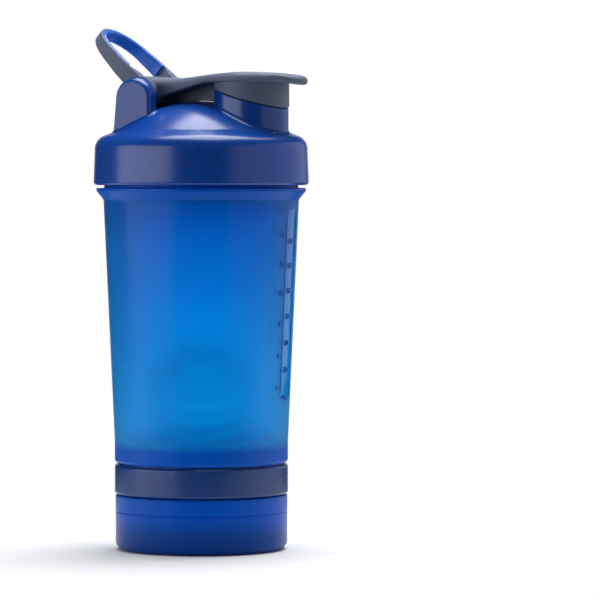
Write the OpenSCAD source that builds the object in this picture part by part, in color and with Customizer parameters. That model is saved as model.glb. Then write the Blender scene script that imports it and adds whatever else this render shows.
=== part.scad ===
// Shaker bottle with a twist-on storage jar, a wire whisk ball and a flip-cap lid.
// Sizes are millimetres and +Z is up. The origin is the middle of the face that the jar stands on.
// +X points from the hinge to the drinking spout, and the hinge axis runs along Y.

/* [Storage jar] */
// Outside diameter of the jar
jar_d = 73.8; // [71:0.1:80]
// Height of the jar up to its shoulder
jar_h = 23.8; // [20:0.1:45]
// Wall thickness of the jar
jar_wall = 1.8; // [1.2:0.1:2.6]
// Floor thickness of the jar
jar_floor = 2; // [1.2:0.1:3]
// Rounding of the jar's bottom edge
jar_edge_r = 4; // [2.8:0.1:6]
// Outside diameter of the jar's neck, which the locking ring goes over
jar_neck_d = 67; // [62:0.1:68]
// Height of the neck above the shoulder
jar_neck_h = 6.4; // [4:0.1:10]
// Wall thickness of the neck
jar_neck_wall = 2.1; // [1.4:0.1:3]

/* [Pill tray] */
// Height of the tray
tray_h = 14; // [8:0.1:18]
// Wall and floor thickness of the tray
tray_wall = 1.2; // [0.8:0.1:2]
// Thickness of each divider
divider_t = 1.4; // [0.8:0.1:2.5]
// Distance between the two dividers, middle to middle
divider_spacing = 17; // [12:0.5:24]
// Outside diameter of the round finger well at the end of one divider
finger_well_d = 17; // [14:0.5:22]

/* [Base joint] */
// Height of the seal ring between the jar and the cup
base_seal_h = 1.6; // [1:0.1:3]
// Outside diameter of the locking ring
ring_d = 74.4; // [72.5:0.1:80]
// Rounding of the locking ring's edges
ring_edge_r = 1.4; // [0.6:0.1:2.4]
// Depth of the cup's round boss inside the locking ring
boss_h = 5.4; // [4:0.1:9]

/* [Cup] */
// Outside diameter of the cup at its foot
cup_base_d = 74.4; // [72.5:0.1:80]
// Outside diameter of the cup under its flange
cup_top_d = 83.8; // [81:0.1:90]
// Height of the cup from its foot to the flange
cup_body_h = 112.7; // [90:0.1:160]
// Height of the straight band at the cup's foot
cup_band_h = 9; // [8:0.1:15]
// Wall thickness of the cup
cup_wall = 1.8; // [1.2:0.1:2.6]
// Thickness of the cup's floor
cup_floor = 2; // [1.4:0.1:3]
// Rounding between the wall and the floor, inside
cup_fillet_r = 5; // [2:0.1:6]
// Diameter of the flange under the lid
flange_d = 89.8; // [88:0.1:92]
// Height of the sloped underside of the flange
flange_slope_h = 3.7; // [2:0.1:6]
// Thickness of the flange's edge
flange_t = 1.3; // [0.8:0.1:2.5]
// Outside diameter of the cup's mouth, where the lid screws on
mouth_d = 83.2; // [80:0.1:84]
// Height of the mouth above the flange
mouth_h = 18; // [14:0.1:24]

/* [Sight panel] */
// Angle that the sunk panel under the spout takes up
panel_angle = 30; // [16:1:60]
// Depth of the panel
panel_depth = 0.7; // [0.3:0.1:0.9]
// Height of the panel's lower end above the cup's foot
panel_low = 28; // [12:1:40]
// Length of the panel
panel_h = 81; // [40:1:100]

/* [Whisk ball] */
// Outside diameter of the wire ball
ball_d = 46; // [36:0.5:60]
// Diameter of the wire
wire_d = 1.2; // [0.8:0.1:2]
// Number of loops from one open end of the wire to the other
wire_loops = 9; // [6:1:14]
// Angle at each end of the ball that the wire leaves open
ball_open_angle = 13; // [8:1:25]
// Lean of the ball where it lies in the cup
ball_lean = 38; // [0:1:90]

/* [Lid] */
// Room between the mouth of the cup and the lid's skirt, which the screw thread fills
thread_room = 2; // [1.4:0.1:3]
// Wall thickness of the lid's skirt
lid_wall = 2.6; // [1.8:0.1:4]
// Draw-in of the skirt's radius from its lower edge to its shoulder
lid_draft = 0.6; // [0:0.1:1.2]
// Rounding of the shoulder
shoulder_r = 6; // [4.5:0.1:7]
// Thickness of the lid over its seal
lid_roof_t = 3; // [2:0.1:4]
// Slope of the lid between the shoulder and the dome
collar_slope = 22; // [15:1:26]
// Diameter of the dome at its foot
dome_d = 72; // [66:0.5:76]
// Height of the dome above its foot
dome_rise = 12.5; // [9:0.1:15]
// Wall thickness of the dome
dome_t = 2.2; // [1.6:0.1:3]
// Height of the seal ring under the lid
lid_seal_h = 1.6; // [1:0.1:3]
// Depth of the lip that holds the seal ring
seal_lip_h = 3; // [2:0.1:5]

/* [Spout] */
// Distance of the spout from the bottle's axis
spout_x = 24; // [22:0.1:25]
// Outside diameter of the spout's foot
spout_d = 31.6; // [31:0.1:33]
// Outside diameter of the spout's neck, inside the cap
spout_neck_d = 28.8; // [27:0.1:29.4]
// Diameter of the drinking hole
spout_bore_d = 24.8; // [20:0.1:25.4]
// Height of the spout's rim above the top of the dome
spout_rise = 6.3; // [5.8:0.1:8]

/* [Hinge] */
// Distance of the hinge from the bottle's axis
hinge_back = 20.7; // [19:0.1:23]
// Height of the hinge above the top of the dome
hinge_rise = 4.2; // [3.8:0.1:6]
// Diameter of the hinge pin
pin_d = 5; // [3:0.1:6]
// Depth of the pin's socket in each ear
socket_depth = 3; // [2:0.1:4.5]
// Width between the two ears
ear_gap = 36.8; // [34:0.1:40]
// Thickness of each ear
ear_t = 6; // [5:0.1:8]
// Width of each ear, front to back
ear_w = 17.5; // [14:0.1:19]
// How far the middle of the ear's round top lies below the hinge
ear_drop = 3; // [0:0.1:4]
// How far the ear's back edge leans out at its foot
ear_flare = 1.6; // [0:0.1:3]

/* [Flip cap] */
// Width of the cap's barrel on the pin
cap_barrel_w = 25.6; // [20:0.1:27]
// Diameter of the barrels of the cap and of the loop
barrel_d = 13; // [10:0.1:13.4]
// Wall thickness of the skirt round the spout
skirt_t = 1.6; // [1:0.1:2.5]
// Height of the spout's neck that the skirt covers, at the spout's axis
skirt_cover = 5.1; // [3.5:0.1:6]
// Slope of the skirt's lower edge
skirt_slope = 15.4; // [8:0.1:18]
// Thickness of the lever over the spout
lever_t = 4.5; // [3:0.1:6]
// Reach of the thumb lip past the spout's axis
lip_reach = 25; // [21:0.1:30]
// Radius of the thumb lip, seen from above
lip_r = 14; // [10:0.1:16]
// Thickness of the stiffening rib under the lever
rib_t = 2.4; // [1.2:0.1:4]

/* [Spout plug] */
// Thickness of the plug's flange on the spout's rim
plug_flange_t = 1.25; // [0.8:0.05:2]
// Length of the plug inside the spout
plug_h = 5; // [3:0.1:6]
// Taper of the plug's radius
plug_taper = 0.7; // [0.4:0.1:1.5]
// Diameter of the post that holds the plug under the cap
plug_post_d = 8; // [5:0.1:12]

/* [Carry loop] */
// Direction of the loop at rest, from +X towards +Z
loop_angle = 138.5; // [132:0.5:144]
// Reach of the loop from the hinge to its tip
loop_reach = 37; // [34:0.5:50]
// Radius of the loop's tip, outside
loop_tip_r = 16.6; // [13:0.1:17.4]
// Distance of the strap's middle from the hinge, square to the loop's direction
strap_rise = 2; // [0:0.1:2.6]
// Thickness of the strap
strap_t = 1.6; // [1.2:0.1:3]
// Depth of the strap at the hinge
strap_depth = 6.4; // [5:0.1:7]
// Depth of the strap at the tip
tip_depth = 4.8; // [4:0.1:6.4]
// Thickness of the soft liner inside the loop
liner_t = 1.6; // [0.8:0.1:2.4]
// Distance of the liner's ends from the hinge
liner_start = 12; // [12:0.5:18]

/* [Hidden] */
$fn = 96;

// Clearances: seats, visible seams, press fits, the pin, and pieces that slide past each other
seat_gap = 0.05;
seam = 0.4;
press_gap = 0.02;
pin_gap = 0.05;
pin_end_gap = 0.2;
side_gap = 0.4;
slide_gap = 0.4;
wall_gap = 0.3;
thread_gap = 0.5;
seal_gap = 0.1;

// Overlaps that carry a cut or a joined shape past a face, and a straight edge into the round it meets
eps = 0.01;
past = 1;
bite = 0.01;
root_depth = 0.6;
far = 300;

// Storage jar, its seal and its tray
jar_r = jar_d / 2;
jar_neck_r = jar_neck_d / 2;
jar_throat_r = jar_neck_r - jar_neck_wall;
jar_top = jar_h + jar_neck_h;
jar_shoulder_r = 0.8;
tray_r = jar_throat_r - slide_gap;
tray_z = jar_floor + seat_gap;
tray_top = tray_z + tray_h;
divider_y = divider_spacing / 2;
divider_drop = 1;
finger_well_reach = tray_r - (tray_wall + finger_well_d) / 2;
finger_well_x = sqrt(finger_well_reach * finger_well_reach - divider_y * divider_y);
base_seal_z = jar_top + seat_gap;

// Cup and locking ring
boss_z = base_seal_z + base_seal_h + seat_gap;
boss_r = jar_neck_r + thread_gap;
boss_bore_r = jar_throat_r + seal_gap;
foot_z = boss_z + boss_h;
ring_z = jar_h + seam;
ring_top = foot_z - seam;
ring_bore_r = boss_r + press_gap;
ring_step_r = min(ring_d, cup_base_d) / 2 - ring_edge_r;
cup_floor_rise = 1.2;
cup_floor_z = foot_z + cup_floor_rise;
cup_floor_top = cup_floor_z + cup_floor;
cup_edge = 1;
cup_base_r = cup_base_d / 2;
cup_top_r = cup_top_d / 2;
band_z = foot_z + cup_band_h;
body_top = foot_z + cup_body_h;
flange_r = flange_d / 2;
flange_low = body_top + flange_slope_h;
flange_top = flange_low + flange_t;
mouth_r = mouth_d / 2;
mouth_bore_r = mouth_r - cup_wall;
rim_z = flange_top + mouth_h;
rim_edge = 0.5;

// Whisk ball
ball_z = cup_floor_top + ball_d / 2 + wall_gap;
ball_path_r = (ball_d - wire_d) / 2;
rings_per_loop = 24;
wire_sides = 6;
wire_rings = wire_loops * rings_per_loop;

// Lid
lid_lift = 1.2;
lid_z = flange_top + lid_lift;
lid_bore_r = mouth_r + thread_room;
lid_r = lid_bore_r + lid_wall;
lid_edge = 0.8;
lid_seal_z = rim_z + seat_gap;
ceiling_z = lid_seal_z + lid_seal_h + seat_gap;
shoulder_top = ceiling_z + lid_roof_t;
shoulder_z = shoulder_top - shoulder_r;
shoulder_c = lid_r - lid_draft - shoulder_r;
seal_lip_gap = 1.5;
seal_lip_r = mouth_bore_r - seal_lip_gap;
seal_lip_t = 1.3;
dome_foot_r = dome_d / 2;
collar_r = shoulder_c + shoulder_r * sin(collar_slope);
collar_z = shoulder_z + shoulder_r * cos(collar_slope);
dome_foot_z = collar_z + (collar_r - dome_foot_r) * tan(collar_slope);
dome_r = (dome_foot_r * dome_foot_r + dome_rise * dome_rise) / (2 * dome_rise);
dome_top = dome_foot_z + dome_rise;
dome_c = dome_top - dome_r;

// Spout, hinge and flip cap
rim_top = dome_top + spout_rise;
spout_r = spout_d / 2;
spout_neck_r = spout_neck_d / 2;
spout_bore_r = spout_bore_d / 2;
root_z = ceiling_z + root_depth;
hinge_x = -hinge_back;
hinge_z = dome_top + hinge_rise;
pin_r = pin_d / 2;
barrel_r = barrel_d / 2;
pin_half = ear_gap / 2 + socket_depth - pin_end_gap;
skirt_in_r = spout_neck_r + thread_gap;
skirt_r = skirt_in_r + skirt_t;
skirt_z = rim_top - skirt_cover;
lever_z = rim_top + 3 * seat_gap + plug_flange_t;
lever_top = lever_z + lever_t;
lip_x = spout_x + lip_reach;

// Shape of the lever: its rounded nose, its waist, and how far its curves' handles reach
nose_r = 1.9;
nose_drop = 1.2;
nose_run = 5;
waist_run = 6;
dip_run = 19;
dip = 4;
crown_run = 7;
crown = 3.8;
belly_run = 15;
belly_handle = 8;
belly_sag = 1.8;
throat_run = 11.7;
throat_angle = 28;

plug_r = spout_bore_r - wall_gap;
plug_post_r = plug_post_d / 2;
plug_z = lever_z - plug_flange_t - plug_h;

// Carry loop, drawn lying along +X from the hinge
loop_out = ear_gap / 2 - side_gap;
loop_in = cap_barrel_w / 2 + side_gap;
loop_leg_in = loop_out - strap_t;
loop_tip_x = loop_reach - loop_tip_r;
root_run = 5;
lean_run = 7.5;

// Half of a round outline from the axis to radius r, with its outer corners rounded
module disc_profile(r, z0, z1, low, high) {
    h = z1 - z0;
    translate([0, z0 + low]) square([r, h - low - high]);
    translate([0, z0]) square([r - low, h - high]);
    translate([0, z0 + low]) square([r - high, h - low]);
    if (low > 0) translate([r - low, z0 + low]) circle(low);
    if (high > 0) translate([r - high, z1 - high]) circle(high);
}

// Closed round seal with rounded edges
module seal_ring(inner, outer, z, h) {
    edge = h / 4;
    rotate_extrude() difference() {
        disc_profile(outer, z, z + h, edge, edge);
        translate([-eps, z - past]) square([inner + eps, h + 2 * past]);
    }
}

// Everything above the slope of the skirt's lower edge, which passes height z at the spout's axis
module above_slope(z) {
    translate([spout_x, 0, z]) rotate([0, skirt_slope, 0])
        translate([-far / 2, -far / 2, 0]) cube(far);
}

// Rod along the hinge axis, from -half to half
module hinge_rod(r, half) {
    translate([hinge_x, -half, hinge_z]) rotate([-90, 0, 0]) cylinder(r = r, h = 2 * half);
}

// Side outline drawn in X and Z, given thickness along Y about the middle
module along_hinge(half) {
    rotate([90, 0, 0]) translate([0, 0, -half]) linear_extrude(2 * half) children();
}

// Points of a cubic curve from a to d
function curve(a, b, c, d, steps) = [
    for (i = [0:steps])
        let (t = i / steps, u = 1 - t)
        u * u * u * a + 3 * u * u * t * b + 3 * u * t * t * c + t * t * t * d
];

// Point where a straight line from p touches the far side of a circle on the X axis
function touch(p, cx, r) =
    let (dx = p[0] - cx, dist = norm([dx, p[1]]), turn = atan2(p[1], dx) - acos(r / dist))
    [cx + r * cos(turn), r * sin(turn)];

// Arch along +X: straight legs at width 2 * v, which then close in on a round tip
module arch(v, r) {
    lean_x = barrel_r + lean_run;
    t = touch([lean_x, v], loop_tip_x, r - bite);
    polygon([
        [-barrel_d, -v], [lean_x, -v], [t[0], -t[1]], [t[0], t[1]], [lean_x, v], [-barrel_d, v]
    ]);
    translate([loop_tip_x, 0]) circle(r);
}

// Jar that twists onto the underside of the cup
module jar() {
    inner_r = jar_r - jar_wall;
    color("#1846a0") rotate_extrude() difference() {
        union() {
            disc_profile(jar_r, 0, jar_h, jar_edge_r, jar_shoulder_r);
            disc_profile(jar_neck_r, jar_floor, jar_top, 0, rim_edge);
        }
        disc_profile(inner_r, jar_floor, jar_h - jar_wall, jar_edge_r - jar_wall, 0);
        translate([0, jar_floor + past]) square([jar_throat_r, jar_top]);
    }
}

// Open tray with two dividers and a finger well, which drops through the jar's neck
module pill_tray() {
    inner_r = tray_r - tray_wall;
    floor_top = tray_z + tray_wall;
    wall_h = tray_h - tray_wall - divider_drop;
    color("#eef3f7") difference() {
        union() {
            rotate_extrude() difference() {
                disc_profile(tray_r, tray_z, tray_top, tray_wall, tray_wall / 4);
                disc_profile(inner_r, floor_top, tray_top + past, tray_wall, 0);
            }
            intersection() {
                translate([0, 0, tray_z + tray_wall / 2]) cylinder(r = inner_r + tray_wall / 2, h = wall_h);
                for (y = [-divider_y, divider_y])
                    translate([-tray_r, y - divider_t / 2, 0]) cube([2 * tray_r, divider_t, tray_top]);
            }
            translate([finger_well_x, divider_y, tray_z + tray_wall / 2])
                cylinder(d = finger_well_d, h = wall_h);
        }
        translate([finger_well_x, divider_y, floor_top])
            cylinder(d = finger_well_d - 2 * tray_wall, h = tray_h);
    }
}

// Seal ring on the jar's rim
module base_seal() {
    color("#c9d2dc") seal_ring(boss_bore_r + seal_gap, jar_neck_r - seal_gap, base_seal_z, base_seal_h);
}

// Ring that holds the jar under the cup
module locking_ring() {
    color("#0f2360") rotate_extrude() difference() {
        union() {
            disc_profile(ring_d / 2, ring_z, ring_top, ring_edge_r, ring_edge_r);
            disc_profile(ring_step_r, ring_z + ring_edge_r, foot_z, 0, 0);
        }
        translate([0, ring_z - past]) square([ring_bore_r, far]);
    }
}

// Outline of the cup from the axis to its outside
module cup_outline() {
    polygon([
        [0, boss_z], [boss_r, boss_z], [boss_r, foot_z],
        [cup_base_r - cup_edge, foot_z], [cup_base_r, foot_z + cup_edge],
        [cup_base_r, band_z], [cup_top_r, body_top],
        [flange_r, flange_low], [flange_r, flange_top],
        [mouth_r, flange_top], [mouth_r, rim_z - rim_edge], [mouth_r - rim_edge, rim_z], [0, rim_z]
    ]);
}

// Hollow of the cup, with a round between its wall and its floor
module cup_hollow() {
    base_r = cup_base_r - cup_wall;
    difference() {
        polygon([
            [0, cup_floor_top], [base_r, cup_floor_top], [base_r, band_z],
            [cup_top_r - cup_wall, body_top], [mouth_bore_r, flange_low],
            [mouth_bore_r, rim_z + past], [0, rim_z + past]
        ]);
        difference() {
            translate([base_r - cup_fillet_r, cup_floor_top - past])
                square([cup_fillet_r + past, cup_fillet_r + past]);
            translate([base_r - cup_fillet_r, cup_floor_top + cup_fillet_r]) circle(cup_fillet_r);
        }
    }
}

// Sunk sight panel, cut parallel to the cup's sloping side
module panel_cut() {
    function side_r(z) = cup_base_r + (z - band_z) * (cup_top_r - cup_base_r) / (body_top - band_z);
    low = foot_z + panel_low;
    high = low + panel_h;
    rotate([0, 0, -panel_angle / 2]) rotate_extrude(angle = panel_angle) polygon([
        [side_r(low) - panel_depth, low], [side_r(low) + past, low],
        [side_r(high) + past, high], [side_r(high) - panel_depth, high]
    ]);
}

// Drinking cup with a boss for the jar, a flange and a mouth for the lid
module cup() {
    color("#0078d0") difference() {
        rotate_extrude() difference() {
            cup_outline();
            cup_hollow();
            translate([0, boss_z - past]) square([boss_bore_r, cup_floor_z - boss_z + past]);
        }
        panel_cut();
    }
}

// Middle of the wire, t of the way along its spiral
function wire_point(t) =
    let (polar = ball_open_angle + t * (180 - 2 * ball_open_angle), turn = 360 * wire_loops * t)
    ball_path_r * [sin(polar) * cos(turn), sin(polar) * sin(turn), cos(polar)];

// Round whisk, wound from one wire on a ball
module whisk_ball() {
    path = [for (i = [0:wire_rings]) wire_point(i / wire_rings)];
    last = wire_rings;
    rings = [
        for (i = [0:last])
            let (
                out = path[i] / norm(path[i]),
                step = path[min(i + 1, last)] - path[max(i - 1, 0)],
                side = cross(step, out) / norm(cross(step, out))
            )
            for (k = [0:wire_sides - 1])
                let (a = 360 * k / wire_sides)
                path[i] + wire_d / 2 * (cos(a) * out + sin(a) * side)
    ];
    walls = [
        for (i = [0:last - 1])
            for (k = [0:wire_sides - 1])
                let (
                    a = i * wire_sides + k,
                    b = i * wire_sides + (k + 1) % wire_sides
                )
                each [[a, a + wire_sides, b], [b, a + wire_sides, b + wire_sides]]
    ];
    first_cap = [for (k = [1:wire_sides - 2]) [0, k, k + 1]];
    end = last * wire_sides;
    last_cap = [for (k = [1:wire_sides - 2]) [end, end + k + 1, end + k]];
    half_loop = rings_per_loop / 2;
    gaps = [
        for (i = [0:last - half_loop])
            for (j = [i + half_loop:last])
                norm(path[i] - path[j]) - wire_d
    ];
    echo(least_gap_between_loops = min(gaps));
    color("#c8ccd2") translate([0, 0, ball_z]) rotate([ball_lean, ball_lean / 2, 0])
        polyhedron(rings, concat(walls, first_cap, last_cap), convexity = 10);
}

// Seal ring under the lid
module lid_seal() {
    color("#c9d2dc") seal_ring(seal_lip_r + 2 * seal_gap, mouth_r - seal_gap, lid_seal_z, lid_seal_h);
}

// Skirt, shoulder, collar and dome of the lid
module lid_outline() {
    polygon([
        [0, lid_z], [lid_r - lid_edge, lid_z], [lid_r, lid_z + lid_edge],
        [shoulder_c + shoulder_r, shoulder_z], [shoulder_c, shoulder_z],
        [collar_r, collar_z], [dome_foot_r, dome_foot_z], [0, dome_foot_z]
    ]);
    translate([shoulder_c, shoulder_z]) circle(shoulder_r);
    intersection() {
        translate([0, dome_c]) circle(dome_r);
        translate([0, dome_foot_z - past]) square([dome_foot_r, dome_rise + 2 * past]);
    }
}

// Hollow of the lid, with the lip that holds the seal ring left standing
module lid_hollow() {
    difference() {
        union() {
            translate([0, lid_z - past]) square([lid_bore_r, ceiling_z - lid_z + past]);
            intersection() {
                translate([0, dome_c]) circle(dome_r - dome_t);
                translate([0, lid_z]) square([seal_lip_r - seal_lip_t, far]);
            }
        }
        translate([seal_lip_r - seal_lip_t, ceiling_z - seal_lip_h])
            square([seal_lip_t, seal_lip_h + past]);
    }
}

// Side outline of an ear, with its round top
module ear_outline() {
    arch_z = hinge_z - ear_drop;
    half = ear_w / 2;
    polygon([
        [hinge_x - half - ear_flare, root_z], [hinge_x + half, root_z],
        [hinge_x + half, arch_z], [hinge_x - half, arch_z]
    ]);
    translate([hinge_x, arch_z]) circle(half);
}

// Screw lid with a domed top, two hinge ears and a drinking spout
module lid() {
    ear_mid = ear_gap / 2 + ear_t / 2;
    color("#17337f") difference() {
        union() {
            rotate_extrude() lid_outline();
            for (side = [-1, 1])
                translate([0, side * ear_mid, 0]) along_hinge(ear_t / 2) ear_outline();
            difference() {
                translate([spout_x, 0, root_z]) cylinder(r = spout_r, h = rim_top - root_z);
                above_slope(skirt_z - wall_gap);
            }
            translate([spout_x, 0, root_z]) cylinder(r = spout_neck_r, h = rim_top - root_z);
        }
        rotate_extrude() lid_hollow();
        translate([spout_x, 0, ceiling_z]) cylinder(r = spout_bore_r, h = far);
        hinge_rod(pin_r + press_gap, ear_gap / 2 + socket_depth);
    }
}

// Pin that the flip cap and the carry loop turn on
module hinge_pin() {
    color("#2a3350") hinge_rod(pin_r, pin_half);
}

// Side outline of the flip cap's lever, which dips behind the spout and turns down at the thumb lip
module lever_outline() {
    barrel_top = [hinge_x, hinge_z + barrel_r];
    barrel_low = [hinge_x + barrel_r * cos(throat_angle), hinge_z - barrel_r * sin(throat_angle)];
    belly = [spout_x - belly_run, lever_z];
    tip = [lip_x - nose_r, lever_z + nose_r - nose_drop];
    top_line = curve(
        barrel_top, barrel_top + [dip_run, -dip],
        [spout_x - crown_run, lever_top + crown], tip + [0, nose_r], 16
    );
    under_line = curve(
        belly, belly - [belly_handle, belly_sag], [hinge_x + throat_run, hinge_z - past], barrel_low, 10
    );
    polygon(concat(top_line, [tip - [0, nose_r], [tip[0] - nose_run, lever_z]], under_line));
    translate(tip) circle(nose_r);
    translate([hinge_x, hinge_z]) circle(barrel_r);
}

// Side outline of the rib under the lever, which follows the dome from the barrel to just short of the spout
module rib_outline() {
    front = spout_x - spout_r - 2 * side_gap;
    difference() {
        polygon([
            [hinge_x + past, hinge_z], [hinge_x + barrel_r, dome_foot_z],
            [front, dome_foot_z], [front, lever_z + past]
        ]);
        translate([0, dome_c]) circle(dome_r + side_gap);
    }
}

// Plan outline of the flip cap: a straight barrel, flaring out to the skirt and a round thumb lip
module cap_plan() {
    half = cap_barrel_w / 2;
    neck_x = hinge_x + barrel_r + waist_run;
    flare = touch([neck_x, half], spout_x, skirt_r - bite);
    lip_c = lip_x - lip_r;
    swing = acos((skirt_r - lip_r) / (lip_c - spout_x));
    edge = [cos(swing), sin(swing)];
    lip_edge = [lip_c, 0] + (lip_r - bite) * edge;
    skirt_edge = [spout_x, 0] + (skirt_r - bite) * edge;
    back_x = hinge_x - barrel_r - past;
    translate([back_x, -half]) square([neck_x + past - back_x, 2 * half]);
    polygon([
        [neck_x, -half], [flare[0], -flare[1]], [spout_x, 0], [flare[0], flare[1]], [neck_x, half]
    ]);
    polygon([
        skirt_edge, lip_edge, [lip_edge[0], -lip_edge[1]], [skirt_edge[0], -skirt_edge[1]]
    ]);
    translate([spout_x, 0]) circle(skirt_r);
    translate([lip_c, 0]) circle(lip_r);
}

// Flip cap: a barrel on the pin, a lever and a skirt that drops over the spout
module flip_cap() {
    skirt_h = lever_z - skirt_z + spout_r;
    color("#5c6378") difference() {
        union() {
            intersection() {
                along_hinge(far / 2) lever_outline();
                linear_extrude(far) cap_plan();
            }
            intersection() {
                translate([spout_x, 0, lever_z - skirt_h]) difference() {
                    cylinder(r = skirt_r, h = skirt_h + past);
                    translate([0, 0, -past]) cylinder(r = skirt_in_r, h = skirt_h + past);
                }
                above_slope(skirt_z);
            }
            translate([spout_x, 0, plug_z + plug_h / 2])
                cylinder(r = plug_post_r, h = lever_z + past - plug_z - plug_h / 2);
            along_hinge(rib_t / 2) rib_outline();
        }
        hinge_rod(pin_r + pin_gap, far / 2);
    }
}

// Plug under the flip cap, with a flange that closes on the spout's rim
module spout_plug() {
    low_r = plug_r - plug_taper;
    color("#8d93a5") translate([spout_x, 0, 0]) rotate_extrude() difference() {
        polygon([
            [0, plug_z], [low_r - rim_edge, plug_z], [low_r, plug_z + rim_edge],
            [plug_r, lever_z - plug_flange_t], [spout_neck_r - seat_gap, lever_z - plug_flange_t],
            [spout_neck_r - seat_gap, lever_z], [0, lever_z]
        ]);
        translate([0, plug_z + plug_h / 2 - press_gap]) square([plug_post_r + press_gap, far]);
    }
}

// Turns what lies along +X at the origin to the loop's direction, on the hinge
module loop_place() {
    translate([hinge_x, 0, hinge_z]) rotate([0, -loop_angle, 0]) children();
}

// Wedge that gives the strap its depth, seen from the side, less a trim on each face
module strap_wedge(start, trim) {
    function half(x) = strap_depth / 2 + (tip_depth - strap_depth) / 2 * x / loop_reach - trim;
    end = loop_reach + past;
    translate([0, 0, -strap_rise]) along_hinge(far / 2)
        polygon([[start, -half(start)], [end, -half(end)], [end, half(end)], [start, half(start)]]);
}

// Plan outline of the strap, with each leg thickened towards its barrel
module strap_plan() {
    leg_mid = loop_leg_in + strap_t / 2;
    difference() {
        arch(loop_out, loop_tip_r);
        arch(loop_leg_in, loop_tip_r - strap_t);
    }
    for (side = [-1, 1])
        polygon([
            [0, side * loop_in], [barrel_r, side * loop_in],
            [barrel_r + root_run, side * leg_mid], [0, side * leg_mid]
        ]);
}

// U-shaped carry loop with a barrel at each end
module carry_loop() {
    color("#5f667c") loop_place() difference() {
        union() {
            intersection() {
                translate([0, 0, -far / 2]) linear_extrude(far) strap_plan();
                strap_wedge(0, 0);
            }
            for (side = [-1, 1])
                translate([0, side * (loop_in + loop_out) / 2, 0]) rotate([90, 0, 0])
                    cylinder(r = barrel_r, h = loop_out - loop_in, center = true);
        }
        rotate([90, 0, 0]) cylinder(r = pin_r + pin_gap, h = far, center = true);
    }
}

// Soft liner on the inside of the loop
module loop_liner() {
    face_trim = 0.3;
    inner_r = loop_tip_r - strap_t;
    color("#2050b0") loop_place() intersection() {
        translate([0, 0, -far / 2]) linear_extrude(far) difference() {
            arch(loop_leg_in - press_gap, inner_r - press_gap);
            arch(loop_leg_in - liner_t, inner_r - liner_t);
        }
        strap_wedge(liner_start, face_trim);
    }
}

jar();
pill_tray();
base_seal();
locking_ring();
cup();
whisk_ball();
lid_seal();
lid();
hinge_pin();
flip_cap();
spout_plug();
carry_loop();
loop_liner();
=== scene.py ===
import math

import bmesh
import bpy
from mathutils import Euler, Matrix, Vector


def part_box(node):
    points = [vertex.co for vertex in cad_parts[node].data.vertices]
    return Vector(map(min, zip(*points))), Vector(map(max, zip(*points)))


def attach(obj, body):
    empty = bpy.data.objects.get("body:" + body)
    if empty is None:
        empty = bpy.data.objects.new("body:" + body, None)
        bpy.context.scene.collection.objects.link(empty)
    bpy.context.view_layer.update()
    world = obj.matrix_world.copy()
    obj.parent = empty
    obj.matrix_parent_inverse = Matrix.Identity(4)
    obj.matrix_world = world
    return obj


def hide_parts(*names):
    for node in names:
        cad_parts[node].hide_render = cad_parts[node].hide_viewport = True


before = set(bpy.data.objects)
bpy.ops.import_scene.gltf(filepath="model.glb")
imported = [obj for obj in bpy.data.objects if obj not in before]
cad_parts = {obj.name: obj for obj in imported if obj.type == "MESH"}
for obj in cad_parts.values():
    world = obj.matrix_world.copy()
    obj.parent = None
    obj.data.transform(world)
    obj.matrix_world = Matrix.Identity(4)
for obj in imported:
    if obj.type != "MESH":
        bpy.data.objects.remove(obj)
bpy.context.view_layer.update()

bl_info = {
    "name": "Shaker bottle",
    "version": (1, 0, 0),
    "blender": (4, 5, 0),
    "location": "View3D > Sidebar > Shaker",
    "description": "Shaker bottle with a storage jar, a whisk ball and a flip-cap lid",
    "category": "Add Mesh",
}


def mm(value):
    """Millimetres as Blender's metres."""
    return value / 1000


SPIN_STEPS = 120
UP = (0, 0, 1)
ALONG_HINGE = (0, 1, 0)
TIGHT_FIT = mm(0.02)
RUNNING_FIT = mm(0.05)
THREAD_STARTS = (30, 210)
THREAD_TURNS = 0.62
THREAD_HEIGHT = mm(1.1)
ML_PER_OUNCE = 29.57
NOISE_SPAN = {"From Min": 0.3, "From Max": 0.7}
GLOSS_SPREAD = 0.05


def length(name, description, default):
    """Property for a length, given in metres."""
    return bpy.props.FloatProperty(
        name=name, description=description, default=default, min=0, precision=5, unit="LENGTH"
    )


def degrees(name, description, default):
    """Property for an angle, given in degrees."""
    return bpy.props.FloatProperty(
        name=name, description=description, default=math.radians(default), subtype="ANGLE"
    )


def linear(code):
    """Linear red, green and blue of an sRGB hex code."""
    shares = [int(code[i:i + 2], 16) / 255 for i in (1, 3, 5)]
    return tuple(c / 12.92 if c <= 0.04045 else ((c + 0.055) / 1.055) ** 2.4 for c in shares)


def paint(name, description, code):
    """Property for a colour, given as an sRGB hex code."""
    return bpy.props.FloatVectorProperty(
        name=name, description=description, default=linear(code), size=3, min=0, max=1, subtype="COLOR"
    )


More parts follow.
